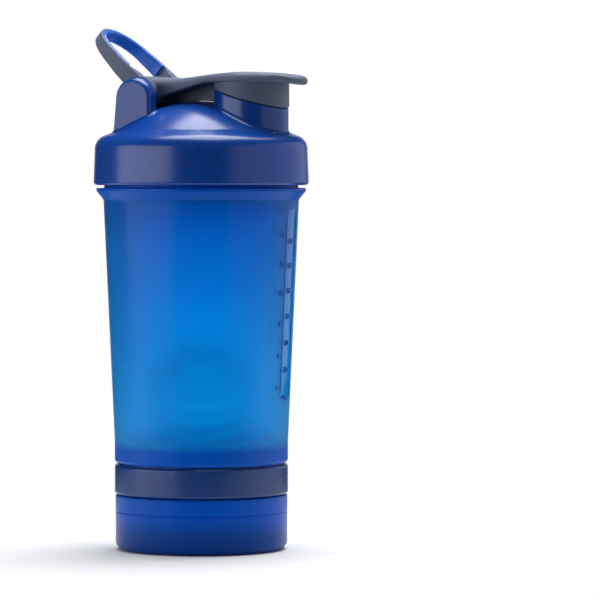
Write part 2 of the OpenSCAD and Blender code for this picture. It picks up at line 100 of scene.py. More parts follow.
class ShakerBase(bpy.types.PropertyGroup):
    """Storage jar, pill tray and locking ring."""

    jar_radius: length("Jar radius", "Outside radius of the storage jar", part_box("jar")[1].x)
    jar_shoulder: length("Jar shoulder", "Height of the jar's shoulder", mm(23.8))
    jar_top: length("Jar rim", "Height of the rim of the jar's neck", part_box("jar")[1].z)
    jar_wall: length("Jar wall", "Wall thickness of the jar", mm(1.8))
    jar_edge: length("Jar edge", "Rounding of the jar's bottom edge", mm(4))
    jar_line: length("Jar line", "Height of the fine line round the jar", mm(16.4))
    neck_radius: length("Neck radius", "Outside radius of the jar's neck", mm(33.5))
    throat_radius: length("Throat radius", "Inside radius of the jar's neck", mm(31.4))
    tray_radius: length("Tray radius", "Outside radius of the pill tray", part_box("pill_tray")[1].x)
    tray_low: length("Tray foot", "Height of the tray's underside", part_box("pill_tray")[0].z)
    tray_top: length("Tray rim", "Height of the tray's rim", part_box("pill_tray")[1].z)
    tray_wall: length("Tray wall", "Wall thickness of the tray", mm(1.2))
    divider_y: length("Divider place", "Distance of each divider from the middle", mm(8.5))
    divider_thick: length("Divider thickness", "Thickness of each divider", mm(1.4))
    well_x: length("Finger well place", "Distance of the finger well from the middle", mm(20.2))
    well_radius: length("Finger well radius", "Outside radius of the finger well", mm(8.5))
    ring_radius: length("Ring radius", "Outside radius of the locking ring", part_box("locking_ring")[1].x)
    ring_low: length("Ring foot", "Height of the ring's lower edge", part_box("locking_ring")[0].z)
    ring_high: length("Ring top", "Height of the ring's upper edge", mm(36.9))
    ring_bore: length("Ring bore", "Inside radius of the locking ring", mm(34.02))
    ring_edge: length("Ring edge", "Rounding of the ring's edges", mm(1.4))


class ShakerCup(bpy.types.PropertyGroup):
    """Cup, its sight panel and the whisk ball."""

    boss_low: length("Boss foot", "Height of the underside of the cup's boss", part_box("cup")[0].z)
    boss_radius: length("Boss radius", "Outside radius of the boss", mm(34))
    boss_bore: length("Boss bore", "Inside radius of the boss", mm(31.5))
    foot: length("Cup foot", "Height of the cup's foot", mm(37.3))
    foot_radius: length("Foot radius", "Outside radius of the cup at its foot", mm(37.2))
    band: length("Band top", "Height where the cup starts to widen", mm(46.3))
    body_top: length("Body top", "Height where the flange begins", mm(150))
    body_radius: length("Body radius", "Outside radius of the cup under its flange", mm(41.9))
    flange_low: length("Flange edge", "Height of the flange's lower edge", mm(153.7))
    flange_high: length("Flange top", "Height of the flange's upper face", mm(155))
    flange_radius: length("Flange radius", "Outside radius of the flange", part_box("cup")[1].x)
    mouth_radius: length("Mouth radius", "Outside radius of the cup's mouth", mm(41.6))
    mouth_bore: length("Mouth bore", "Inside radius of the mouth", mm(39.8))
    rim: length("Rim", "Height of the cup's rim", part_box("cup")[1].z)
    wall: length("Cup wall", "Wall thickness of the cup", mm(1.8))
    floor_low: length("Floor underside", "Height of the floor's underside", mm(38.5))
    floor_high: length("Floor", "Height of the cup's floor", mm(40.5))
    floor_round: length("Floor rounding", "Rounding between floor and wall", mm(5))
    panel_low: length("Panel foot", "Height of the sight panel's lower end", mm(65.3))
    panel_high: length("Panel top", "Height of the sight panel's upper end", mm(146.3))
    panel_depth: length("Panel depth", "Depth of the sight panel", mm(0.7))
    panel_angle: degrees("Panel angle", "Angle that the sight panel takes up", 30)
    thread_rise: length("Thread rise", "Rise of the lid's thread in one turn", mm(12))
    ball_radius: length("Ball radius", "Outside radius of the whisk ball", mm(23))
    ball_z: length("Ball height", "Height of the middle of the whisk ball", mm(63.8))
    wire_radius: length("Wire radius", "Radius of the whisk's wire", mm(0.6))
    wire_loops: bpy.props.IntProperty(
        name="Loops", description="Loops of the wire from end to end", default=9, min=3
    )
    ball_open: degrees("Open angle", "Angle at each end of the ball that the wire leaves open", 13)
    ball_lean: degrees("Ball lean", "Lean of the ball where it lies", 38)


class ShakerTop(bpy.types.PropertyGroup):
    """Lid, spout, hinge, flip cap and carry loop."""

    lid_low: length("Lid foot", "Height of the lid's lower edge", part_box("lid")[0].z)
    lid_radius: length("Lid radius", "Outside radius at the lid's lower edge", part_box("lid")[1].x)
    lid_bore: length("Lid bore", "Inside radius of the lid's skirt", mm(43.6))
    ceiling: length("Ceiling", "Height of the lid's ceiling over its seal", mm(174.7))
    shoulder_round: length("Shoulder rounding", "Rounding of the lid's shoulder", mm(6))
    shoulder_middle: length("Shoulder centre", "Radius of the shoulder rounding's middle", mm(39.6))
    shoulder_z: length("Shoulder height", "Height of the shoulder rounding's middle", mm(171.7))
    collar_slope: degrees("Collar slope", "Slope of the lid between shoulder and dome", 22)
    dome_foot: length("Dome radius", "Radius of the dome at its foot", mm(36))
    dome_foot_z: length("Dome foot", "Height of the dome's foot", mm(179.626))
    dome_top: length("Dome top", "Height of the top of the dome", mm(192.126))
    dome_thick: length("Dome wall", "Wall thickness of the dome", mm(2.2))
    lip_outer: length("Seal lip", "Outside radius of the lip that holds the seal", mm(38.3))
    lip_inner: length("Seal lip bore", "Inside radius of that lip", mm(37))
    lip_low: length("Seal lip foot", "Height of that lip's lower edge", mm(171.7))
    foot_fillet: length("Foot fillet", "Rounding where ears and spout grow out of the dome", mm(1.8))
    spout_x: length("Spout place", "Distance of the spout from the axis", mm(24))
    spout_radius: length("Spout foot", "Outside radius of the spout's foot", mm(15.8))
    spout_neck: length("Spout neck", "Outside radius of the spout's neck", mm(14.4))
    spout_bore: length("Spout bore", "Radius of the drinking hole", mm(12.4))
    spout_rim: length("Spout rim", "Height of the spout's rim", mm(198.426))
    hinge_back: length("Hinge place", "Distance of the hinge behind the axis", mm(20.7))
    hinge_z: length("Hinge height", "Height of the hinge", mm(196.326))
    pin_radius: length("Pin radius", "Radius of the hinge pin", mm(2.5))
    pin_half: length("Pin half length", "Half the length of the hinge pin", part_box("hinge_pin")[1].y)
    ear_in: length("Ear inside", "Distance of each ear's inner face from the middle", mm(18.4))
    ear_out: length("Ear outside", "Distance of each ear's outer face from the middle", mm(24.4))
    ear_width: length("Ear width", "Width of each ear, front to back", mm(17.5))
    ear_drop: length("Ear drop", "How far the round top's middle lies below the hinge", mm(3))
    ear_flare: length("Ear flare", "How far the ear's back leans out at its foot", mm(1.6))
    ear_edge: length("Ear edge, wide", "Rounding of the ear's edge across its face", mm(1.7))
    ear_round: length("Ear edge, deep", "Rounding of the ear's edge down its side", mm(3.8))
    barrel_radius: length("Barrel radius", "Radius of the hinge barrels", mm(6.5))
    cap_half: length("Cap half width", "Half the width of the cap's barrel", mm(12.8))
    lever_z: length("Lever underside", "Height of the lever's underside over the spout", mm(199.826))
    lever_thick: length("Lever thickness", "Thickness of the lever over the spout", mm(4.5))
    lip_x: length("Thumb lip", "Distance of the thumb lip's tip from the axis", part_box("flip_cap")[1].x)
    lip_radius: length("Thumb lip radius", "Radius of the thumb lip, seen from above", mm(14))
    lever_radius: length("Lever radius", "Radius of the lever over the spout, seen from above", mm(16.5))
    skirt_radius: length("Skirt radius", "Outside radius of the cap's skirt", mm(16.1))
    skirt_bore: length("Skirt bore", "Inside radius of the cap's skirt", mm(14.9))
    skirt_z: length("Skirt foot", "Height of the skirt's lower edge at the spout's axis", mm(193.326))
    skirt_slope: degrees("Skirt slope", "Slope of the skirt's lower edge", 15.4)
    loop_angle: degrees(
        "Loop angle", "Direction of the carry loop at rest, from the spout's side upwards", 138.5
    )
    loop_reach: length("Loop reach", "Reach of the loop from the hinge to its tip", mm(37))
    loop_tip: length("Loop tip radius", "Radius of the loop's tip, outside", mm(16.6))
    loop_out: length("Loop outside", "Distance of the loop's legs from the middle, outside", mm(18))
    loop_in: length("Loop inside", "Distance of the loop's barrels from the middle, inside", mm(13.2))
    strap_rise: length(
        "Strap rise", "Distance of the strap's middle from the hinge, on its upper side", mm(2)
    )
    strap_thick: length("Strap thickness", "Thickness of the strap", mm(1.6))
    strap_depth: length("Strap depth", "Depth of the strap at the hinge", mm(6.4))
    tip_depth: length("Tip depth", "Depth of the strap at the tip", mm(4.8))
    liner_thick: length("Liner thickness", "Thickness of the soft liner", mm(1.6))
    liner_start: length("Liner start", "Distance of the liner's ends from the hinge", mm(12))


class ShakerFinish(bpy.types.PropertyGroup):
    """Colours of the pieces."""

    cup_blue: paint("Cup, high", "Clear blue high on the cup's wall", "#0096db")
    # Painted light: the cup's foot colour is lighter and more cyan than its top one, a painted glow low on
    # the wall.
    cup_low: paint("Cup, low", "Clear blue low on the cup's wall", "#00d5ff")
    cup_deep: paint("Cup, thick", "Clear blue of the cup's thick foot and flange", "#0062d6")
    jar_blue: paint("Jar", "Clear blue of the upper half of the storage jar", "#006ce4")
    # Painted shade: the jar's foot colour is darker for its thick floor and, up to about the jar's line, for
    # painted shade from the floor.
    jar_deep: paint("Jar, thick", "Clear blue of the jar's thick foot", "#0046a8")
    mark: paint("Marks", "Clear blue of the raised measure marks", "#1488d2")
    navy: paint("Lid", "Navy of the lid", "#08429a")
    # Painted shade: the ring's navy is the lid's navy painted darker, for the less light that reaches it low
    # down.
    ring: paint("Ring", "Darker navy of the locking ring", "#0c3676")
    slate: paint("Cap and loop", "Slate grey of the cap and the loop", "#616b83")
    liner: paint("Liner", "Bright blue of the loop's liner", "#0c62d4")
    steel: paint("Wire", "Bright steel of the whisk", "#d6d9dd")
    frost: paint("Tray", "Frosted white of the pill tray", "#f1f5f8")
    silicone: paint("Seals", "Pale grey of the seals", "#c9d2dc")
    plug: paint("Plug", "Grey of the spout plug", "#8d93a5")
    pin: paint("Pin", "Dark plastic of the hinge pin", "#2a3350")
    paper: paint("Floor", "Pale paper under the bottle", "#ebebec")


def clear_selection():
    """Object mode with nothing selected."""
    if bpy.context.mode != "OBJECT":
        bpy.ops.object.mode_set(mode="OBJECT")
    bpy.ops.object.select_all(action="DESELECT")


def pick(piece):
    """Makes piece the only selected object."""
    clear_selection()
    piece.select_set(True)
    bpy.context.view_layer.objects.active = piece


def edit_new(name):
    """Names the primitive that was just added and opens it in edit mode."""
    piece = bpy.context.object
    piece.name = piece.data.name = name
    bpy.ops.object.mode_set(mode="EDIT")
    bpy.ops.mesh.select_all(action="SELECT")
    return piece


def close_up():
    """Merges doubled points, turns the faces outwards and leaves edit mode."""
    bpy.ops.mesh.select_all(action="SELECT")
    bpy.ops.mesh.remove_doubles(threshold=mm(0.002))
    bpy.ops.mesh.normals_make_consistent(inside=False)
    bpy.ops.object.mode_set(mode="OBJECT")


def draw_line(name, points, closed=False):
    """Edge chain extruded from point to point, and joined end to start if closed. Stays in edit mode."""
    clear_selection()
    bpy.ops.mesh.primitive_plane_add(size=mm(1))
    piece = edit_new(name)
    bpy.ops.mesh.merge(type="CENTER")
    bpy.ops.transform.translate(value=points[0])
    for here, there in zip(points, points[1:]):
        step = Vector(there) - Vector(here)
        bpy.ops.mesh.extrude_vertices_move(TRANSFORM_OT_translate={"value": step})
    if closed:
        mesh = bmesh.from_edit_mesh(piece.data)
        ends = (Vector(points[0]), Vector(points[-1]))
        for vertex in mesh.verts:
            vertex.select = min((vertex.co - end).length for end in ends) < mm(0.001)
        mesh.select_flush_mode()
        bpy.ops.mesh.edge_face_add()
    bpy.ops.mesh.select_all(action="SELECT")
    return piece


def spin_profile(name, profile, centre=(0, 0, 0), axis=UP, closed=False):
    """Round solid from a half profile, given as radius and height along the axis."""
    points = [Vector(centre) + Vector((r, 0, 0)) + h * Vector(axis) for r, h in profile]
    piece = draw_line(name, points, closed)
    bpy.ops.mesh.spin(steps=SPIN_STEPS, angle=2 * math.pi, center=centre, axis=axis)
    close_up()
    return piece


def loft(name, rings, capped=True):
    """Skin through rings of points, extruded ring by ring."""
    clear_selection()
    bpy.ops.mesh.primitive_circle_add(vertices=len(rings[0]), radius=mm(10))
    piece = edit_new(name)
    mesh = bmesh.from_edit_mesh(piece.data)
    place = mesh.verts.layers.int.new("place")
    level = mesh.verts.layers.int.new("level")
    for i, vertex in enumerate(mesh.verts):
        vertex[place] = i
        vertex.co = rings[0][i]
    for k, ring in enumerate(rings[1:], 1):
        bpy.ops.mesh.extrude_edges_move()
        mesh = bmesh.from_edit_mesh(piece.data)
        place = mesh.verts.layers.int["place"]
        level = mesh.verts.layers.int["level"]
        for vertex in mesh.verts:
            if vertex.select:
                vertex.co = ring[vertex[place]]
                vertex[level] = k
        bmesh.update_edit_mesh(piece.data)
    for end in (0, len(rings) - 1) if capped else ():
        mesh = bmesh.from_edit_mesh(piece.data)
        level = mesh.verts.layers.int["level"]
        for vertex in mesh.verts:
            vertex.select = vertex[level] == end
        mesh.select_flush_mode()
        bpy.ops.mesh.edge_face_add()
    close_up()
    for layer in ("place", "level"):
        piece.data.attributes.remove(piece.data.attributes[layer])
    return piece


def combine(piece, tool, operation):
    """Joins tool to piece or cuts it out of it, and removes tool."""
    pick(piece)
    bpy.ops.object.modifier_add(type="BOOLEAN")
    fit = piece.modifiers[-1]
    fit.operation = operation
    fit.solver = "EXACT"
    fit.object = tool
    bpy.ops.object.modifier_apply(modifier=fit.name)
    bpy.data.meshes.remove(tool.data)
    return piece


def join(piece, others):
    """Makes separate moulded details part of piece."""
    pick(piece)
    for other in others:
        other.select_set(True)
    bpy.ops.object.join()
    return piece


def thread(name, radius, start, low, turns, rise, height):
    """Helical ridge on a round wall. A negative height turns it inwards."""
    bite = mm(0.3)
    root_half, crest_half = mm(1.1), mm(0.45)
    root = radius - math.copysign(bite, height)
    crest = radius + height
    profile = [(root, -root_half), (crest, -crest_half), (crest, crest_half), (root, root_half)]
    points = [(r * math.cos(start), r * math.sin(start), low + z) for r, z in profile]
    piece = draw_line(name, points, closed=True)
    bpy.ops.object.mode_set(mode="OBJECT")
    bpy.ops.object.modifier_add(type="SCREW")
    helix = piece.modifiers[-1]
    helix.angle = 2 * math.pi * turns
    helix.screw_offset = rise * turns
    helix.steps = helix.render_steps = int(SPIN_STEPS * turns)
    bpy.ops.object.modifier_apply(modifier=helix.name)
    bpy.ops.object.mode_set(mode="EDIT")
    bpy.ops.mesh.select_all(action="SELECT")
    bpy.ops.mesh.fill_holes(sides=4)
    close_up()
    return piece


def threads(name, radius, low, rise, height, starts=THREAD_STARTS, turns=THREAD_TURNS):
    """Equal threads round a wall, started at angles in degrees."""
    return [thread(name, radius, math.radians(start), low, turns, rise, height) for start in starts]


def quarter(steps):
    """Angles of a quarter turn."""
    return [math.radians(90 * step / steps) for step in range(steps + 1)]


def arc(x, y, radius, first, last, steps):
    """Points on an arc, with angles in degrees."""
    turns = [math.radians(first + (last - first) * i / steps) for i in range(steps + 1)]
    return [(x + radius * math.cos(a), y + radius * math.sin(a)) for a in turns]


def rounded(corners, closed=False, steps=5):
    """Outline through corners, each with the radius that it is rounded to."""
    outline = []
    for i, (x, y, radius) in enumerate(corners):
        if not radius or not (closed or 0 < i < len(corners) - 1):
            outline.append((x, y))
            continue
        here = Vector((x, y))
        back = (Vector(corners[i - 1][:2]) - here).normalized()
        on = (Vector(corners[(i + 1) % len(corners)][:2]) - here).normalized()
        half = back.angle(on) / 2
        middle = here + (back + on).normalized() * radius / math.sin(half)
        first = here + back * radius / math.tan(half) - middle
        last = here + on * radius / math.tan(half) - middle
        begin = math.degrees(math.atan2(first.y, first.x))
        turn = math.degrees(math.atan2(first.x * last.y - first.y * last.x, first.dot(last)))
        outline += arc(middle.x, middle.y, radius, begin, begin + turn, steps)
    return outline


def between(a, b, steps):
    """Points in equal steps from a to b, without b itself."""
    return [tuple(p + (q - p) * i / steps for p, q in zip(a, b)) for i in range(steps)]


def plain(points):
    """Profile points as corners that stay sharp."""
    return [(x, y, 0) for x, y in points]


def soften(points, rounds=2):
    """Cuts the corners of an open line, and keeps its ends."""
    for _ in range(rounds):
        cut = [points[0]]
        for a, b in zip(points, points[1:]):
            cut += [tuple(share * p + (1 - share) * q for p, q in zip(a, b)) for share in (0.75, 0.25)]
        points = cut + [points[-1]]
    return points


def bezier(a, b, c, d, steps=40):
    """Points of a cubic curve from a to d."""
    points = []
    for i in range(steps + 1):
        t = i / steps
        u = 1 - t
        weights = (u ** 3, 3 * u * u * t, 3 * u * t * t, t ** 3)
        points.append(tuple(sum(w * p[k] for w, p in zip(weights, (a, b, c, d))) for k in (0, 1)))
    return points


def height_at(line, x):
    """Height of a line of points at x, and its end heights beyond its ends."""
    line = sorted(line)
    if x <= line[0][0]:
        return line[0][1]
    for (x0, z0), (x1, z1) in zip(line, line[1:]):
        if x <= x1:
            return z0 + (z1 - z0) * (x - x0) / max(x1 - x0, 1e-9)
    return line[-1][1]


def touch(point, centre, radius):
    """Angle at which a straight line from point touches a circle on the X axis."""
    run = point[0] - centre
    return math.atan2(point[1], run) - math.acos(radius / math.hypot(run, point[1]))


def shade(piece, angle):
    """Smooth shading in which the large faces set the shine, with edges sharper than angle kept."""
    pick(piece)
    bpy.ops.object.shade_smooth_by_angle(angle=math.radians(angle))
    bpy.ops.object.modifier_add(type="WEIGHTED_NORMAL")
    piece.modifiers[-1].keep_sharp = True
    bpy.ops.object.modifier_apply(modifier=piece.modifiers[-1].name)


def settle(piece, body, node, material, angle=35):
    """Shades a finished piece, gives it its material and puts it in its CAD node's place."""
    shade(piece, angle)
    piece.data.materials.clear()
    piece.data.materials.append(material)
    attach(piece, body)
    if node:
        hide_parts(node)
    clear_selection()


def add_node(tree, kind, inputs=None, **settings):
    """Adds a shader node. An input is a value, or another node's output to link."""
    node = tree.nodes.new("ShaderNode" + kind)
    for name, value in settings.items():
        setattr(node, name, value)
    for name, value in (inputs or {}).items():
        if isinstance(value, bpy.types.NodeSocket):
            tree.links.new(value, node.inputs[name])
        else:
            node.inputs[name].default_value = value
    return node


def new_surface(name):
    """Empty material with its node tree and the piece's own coordinates."""
    material = bpy.data.materials.new(name)
    material.use_nodes = True
    tree = material.node_tree
    tree.nodes.clear()
    return material, tree, add_node(tree, "TexCoord").outputs["Object"]


def colour_of(key):
    """Colour that is set in the panel."""
    return tuple(getattr(bpy.context.scene.shaker_finish, key))


def grain_per_metre(size):
    """Noise scale that gives grains of a size in millimetres."""
    return 1000 / size


def moulded(name, colour, rough, grain, depth, mottle=0.06, speck=0.0, sockets=None):
    """Moulded plastic: even colour with faint flow clouds, and the fine grain of an eroded mould.

    grain is the grain's size and depth its height, in millimetres; speck darkens single grains.
    """
    material, tree, here = new_surface(name)
    cloud = add_node(tree, "TexNoise", {
        "Vector": here, "Scale": grain_per_metre(28), "Detail": 3.0, "Roughness": 0.55,
    }).outputs["Fac"]
    fine = add_node(tree, "TexNoise", {
        "Vector": here, "Scale": grain_per_metre(grain), "Detail": 2.0, "Roughness": 0.6,
    }).outputs["Fac"]
    shift = add_node(tree, "MapRange", {
        "Value": cloud, **NOISE_SPAN, "To Min": 1 - mottle, "To Max": 1 + mottle,
    }).outputs["Result"]
    dots = add_node(tree, "MapRange", {
        "Value": fine, **NOISE_SPAN, "To Min": 1 - speck, "To Max": 1 + speck,
    }).outputs["Result"]
    level = add_node(tree, "Math", {0: shift, 1: dots}, operation="MULTIPLY").outputs["Value"]
    tint = add_node(tree, "VectorMath", {0: colour_of(colour), "Scale": level}, operation="SCALE")
    gloss = add_node(tree, "MapRange", {
        "Value": fine, **NOISE_SPAN, "To Min": rough - GLOSS_SPREAD, "To Max": rough + GLOSS_SPREAD,
    })
    bump = add_node(tree, "Bump", {"Height": fine, "Strength": 0.35, "Distance": mm(depth)})
    shader = add_node(tree, "BsdfPrincipled", {
        "Base Color": tint.outputs["Vector"], "Roughness": gloss.outputs["Result"],
        "Normal": bump.outputs["Normal"], **(sockets or {}),
    })
    add_node(tree, "OutputMaterial", {"Surface": shader.outputs["BSDF"]})
    return material


def inside_panel(tree, here, low, high, start, end):
    """1 between two heights and two angles round the upright axis, and 0 outside them."""
    axes = add_node(tree, "SeparateXYZ", {"Vector": here}).outputs
    angle = add_node(tree, "Math", {0: axes["Y"], 1: axes["X"]}, operation="ARCTAN2").outputs["Value"]
    turned = add_node(tree, "Math", {
        0: angle, 1: (start + end) / 2, 2: (end - start) / 2,
    }, operation="COMPARE").outputs["Value"]
    level = add_node(tree, "Math", {
        0: axes["Z"], 1: (low + high) / 2, 2: (high - low) / 2,
    }, operation="COMPARE").outputs["Value"]
    return add_node(tree, "Math", {0: turned, 1: level}, operation="MULTIPLY").outputs["Value"]


def dyed_clear(name, colours, deep_foot, deep_top, clear, rough, coat, polished=None):
    """Clear dyed plastic with a frosted skin, whose colour deepens by height, where its wall is thick and
    where shade is painted.

    colours are those at the foot of the wall, at its top and in the deep bands; a lighter foot colour is
    painted light. The first pair of heights is the span over which the deep colour fades out above the foot,
    and the second the span over which it comes back at the top. clear is the share of light that passes in
    the deep bands and between them. polished is a panel without frost, as its two heights and two angles.
    """
    low, high, deep = ((*colour_of(colour), 1) for colour in colours)
    polished_rough = 0.12
    material, tree, here = new_surface(name)
    height = add_node(tree, "SeparateXYZ", {"Vector": here}).outputs["Z"]
    foot = add_node(tree, "MapRange", {
        "Value": height, "From Min": deep_foot[0], "From Max": deep_foot[1],
    }, interpolation_type="SMOOTHSTEP").outputs["Result"]
    top = add_node(tree, "MapRange", {
        "Value": height, "From Min": deep_top[0], "From Max": deep_top[1], "To Min": 1.0, "To Max": 0.0,
    }, interpolation_type="SMOOTHSTEP").outputs["Result"]
    thin_and_unshaded = add_node(tree, "Math", {0: foot, 1: top}, operation="MULTIPLY").outputs["Value"]
    rise = add_node(tree, "MapRange", {
        "Value": height, "From Min": deep_foot[0], "From Max": deep_top[1],
    }).outputs["Result"]
    # The wall's colour runs from the foot colour up to the top one; on the cup its lighter foot is painted
    # light.
    wall = add_node(tree, "Mix", {0: rise, 6: low, 7: high}, data_type="RGBA").outputs[2]
    # In the deep bands the dye turns deeper: the cup's thick foot and flange, and on the jar its thick floor
    # with painted shade above it.
    dye = add_node(tree, "Mix", {0: thin_and_unshaded, 6: deep, 7: wall}, data_type="RGBA").outputs[2]
    passing = add_node(tree, "MapRange", {"Value": thin_and_unshaded, "To Min": clear[0], "To Max": clear[1]})
    flow = add_node(tree, "TexNoise", {
        "Vector": here, "Scale": grain_per_metre(30), "Detail": 2.0, "Roughness": 0.5,
    }).outputs["Fac"]
    shift = add_node(tree, "MapRange", {"Value": flow, **NOISE_SPAN, "To Min": 0.96, "To Max": 1.04})
    tint = add_node(tree, "VectorMath", {0: dye, "Scale": shift.outputs["Result"]}, operation="SCALE")
    frost = add_node(tree, "TexNoise", {
        "Vector": here, "Scale": grain_per_metre(0.6), "Detail": 2.0, "Roughness": 0.6,
    }).outputs["Fac"]
    gloss = add_node(tree, "MapRange", {
        "Value": frost, **NOISE_SPAN, "To Min": rough - GLOSS_SPREAD, "To Max": rough + GLOSS_SPREAD,
    }).outputs["Result"]
    if polished:
        inside = inside_panel(tree, here, *polished)
        gloss = add_node(tree, "Mix", {0: inside, 2: gloss, 3: polished_rough}, data_type="FLOAT").outputs[0]
    bump = add_node(tree, "Bump", {"Height": frost, "Strength": 0.3, "Distance": mm(0.02)})
    shader = add_node(tree, "BsdfPrincipled", {
        "Base Color": tint.outputs["Vector"], "Roughness": gloss, "IOR": 1.45,
        "Coat Weight": coat, "Coat Roughness": 0.18, "Transmission Weight": passing.outputs["Result"],
        "Specular IOR Level": 0.15, "Specular Tint": (*linear("#6195cb"), 1),
        "Normal": bump.outputs["Normal"],
    })
    dyed = add_node(tree, "VolumeAbsorption", {"Color": (*linear("#007cf3"), 1), "Density": 45.0})
    add_node(tree, "OutputMaterial", {"Surface": shader.outputs["BSDF"], "Volume": dyed.outputs["Volume"]})
    return material


def navy_polypropylene():
    """Polypropylene, moulded in a polished mould: deep navy with clear, soft-edged bands of light."""
    return moulded("polypropylene_moulded_glossy_navy", "navy", rough=0.26, grain=0.35, depth=0.01,
                   mottle=0.05)


def ring_polypropylene():
    """Polypropylene, moulded in a polished mould: the lid's navy with the same shine, painted darker as
    shade, as the ring sits low and gets less light from above.
    """
    return moulded("polypropylene_moulded_glossy_dark_navy", "ring", rough=0.26, grain=0.35, depth=0.01,
                   mottle=0.05)


def slate_polypropylene():
    """Polypropylene, moulded in a coarser mould: matt slate grey with a visible fine speckle."""
    return moulded("polypropylene_moulded_matt_slate", "slate", rough=0.45, grain=0.4, depth=0.04,
                   mottle=0.05, speck=0.05, sockets={"Specular IOR Level": 0.25})


def blue_elastomer():
    """Thermoplastic elastomer, moulded onto the loop: soft, bright blue, with a silky shine."""
    return moulded("elastomer_overmoulded_blue", "liner", rough=0.36, grain=0.5, depth=0.02, mottle=0.05)


def grey_elastomer():
    """Thermoplastic elastomer, moulded: soft grey rubber, nearly matt."""
    return moulded("elastomer_moulded_grey", "plug", rough=0.55, grain=0.5, depth=0.03)


def dark_acetal():
    """Acetal rod, moulded: dark, slippery and a little shiny."""
    return moulded("acetal_moulded_dark", "pin", rough=0.3, grain=0.6, depth=0.01)


def clear_blue_copolyester(c):
    """Copolyester, moulded and frosted: clear blue that glows where light comes through, darker at its sides.

    One half of the sight panel is polished, so that a lamp stands in it as a pale stripe. Low on the wall the
    blue is painted lighter and more cyan: painted light.
    """
    return dyed_clear("copolyester_moulded_frosted_blue", ("cup_low", "cup_blue", "cup_deep"),
                      deep_foot=(mm(43), mm(49)), deep_top=(mm(146), mm(152)), clear=(0.35, 1.0),
                      rough=0.48, coat=0.16,
                      polished=(c.panel_low, c.panel_high, math.radians(0.4), c.panel_angle / 2))


def dense_blue_copolyester():
    """Copolyester, moulded with more dye: deep blue that lets through only a little light. Towards its foot
    it is darker still, partly for its thick floor and above that as painted shade.
    """
    return dyed_clear("copolyester_moulded_dense_blue", ("jar_blue", "jar_blue", "jar_deep"),
                      deep_foot=(mm(5), mm(17)), deep_top=(mm(40), mm(50)), clear=(0.45, 0.55),
                      rough=0.36, coat=0.1)


def raised_mark_blue():
    """Copolyester, moulded as raised marks: the panel's blue once more, and so a little darker than it."""
    return dyed_clear("copolyester_moulded_marks_blue", ("mark", "mark", "mark"),
                      deep_foot=(0.0, mm(10)), deep_top=(mm(300), mm(310)), clear=(1.0, 1.0),
                      rough=0.4, coat=0.0)


def natural_polypropylene():
    """Polypropylene, moulded without dye: milky white that light soaks into."""
    return moulded("polypropylene_moulded_natural", "frost", rough=0.42, grain=0.5, depth=0.02, mottle=0.03,
                   sockets={"IOR": 1.49, "Transmission Weight": 0.45})


def pale_silicone():
    """Silicone, moulded: pale, cloudy rubber with a dull shine."""
    return moulded("silicone_moulded_pale", "silicone", rough=0.48, grain=0.7, depth=0.02, mottle=0.05,
                   sockets={"Subsurface Weight": 0.25, "Subsurface Radius": (mm(1), mm(1), mm(1))})


def drawn_steel():
    """Stainless steel, drawn to wire and polished: mirror bright, with fine lines left by the die."""
    material, tree, here = new_surface("stainless_steel_drawn_polished")
    # The die's lines are about 0.05 mm apart. They are drawn at 0.3 mm, because finer ones don't show.
    lines = add_node(tree, "TexNoise", {
        "Vector": here, "Scale": grain_per_metre(0.3), "Detail": 3.0, "Roughness": 0.6,
    }).outputs["Fac"]
    cloud = add_node(tree, "TexNoise", {
        "Vector": here, "Scale": grain_per_metre(9), "Detail": 2.0,
    }).outputs["Fac"]
    gloss = add_node(tree, "MapRange", {"Value": lines, **NOISE_SPAN, "To Min": 0.14, "To Max": 0.26})
    tone = add_node(tree, "MapRange", {
        "Value": cloud, **NOISE_SPAN, "To Min": 0.92, "To Max": 1.04,
    }).outputs["Result"]
    tint = add_node(tree, "VectorMath", {0: colour_of("steel"), "Scale": tone}, operation="SCALE")
    bump = add_node(tree, "Bump", {"Height": lines, "Strength": 0.2, "Distance": mm(0.02)})
    shader = add_node(tree, "BsdfPrincipled", {
        "Base Color": tint.outputs["Vector"], "Metallic": 1.0, "Roughness": gloss.outputs["Result"],
        "Normal": bump.outputs["Normal"],
    })
    add_node(tree, "OutputMaterial", {"Surface": shader.outputs["BSDF"]})
    return material


class SHAKER_OT_jar(bpy.types.Operator):
    """Storage jar with its neck and its twist lugs"""

    bl_idname = "shaker.jar"
    bl_label = "Storage jar"

    def execute(self, context):
        b = context.scene.shaker_base
        inner = b.jar_radius - b.jar_wall
        ceiling = b.jar_shoulder - b.jar_wall
        floor = mm(2)
        recess = mm(0.5)
        groove = mm(0.32)
        edge = mm(0.6)
        foot_edge = mm(0.4)
        jar = spin_profile("jar_shell", rounded([
            (0, recess, 0), (b.jar_radius - mm(8), recess, foot_edge), (b.jar_radius - mm(7.4), 0, foot_edge),
            (b.jar_radius, 0, b.jar_edge),
            (b.jar_radius, b.jar_line - mm(0.3), 0), (b.jar_radius - groove, b.jar_line, 0),
            (b.jar_radius - groove, b.jar_line + mm(0.25), 0), (b.jar_radius, b.jar_line + mm(0.55), 0),
            (b.jar_radius, b.jar_shoulder, mm(0.8)), (b.neck_radius, b.jar_shoulder, mm(0.5)),
            (b.neck_radius, b.jar_top, edge), (b.throat_radius, b.jar_top, edge),
            (b.throat_radius, ceiling, edge), (inner, ceiling, edge), (inner, floor, mm(2.2)), (0, floor, 0),
        ], steps=6))
        join(jar, threads("jar_lug", b.neck_radius, low=mm(27.4), rise=mm(6), height=mm(0.34),
                          starts=(20, 140, 260), turns=1 / 9))
        settle(jar, "jar", "jar", dense_blue_copolyester())
        return {"FINISHED"}


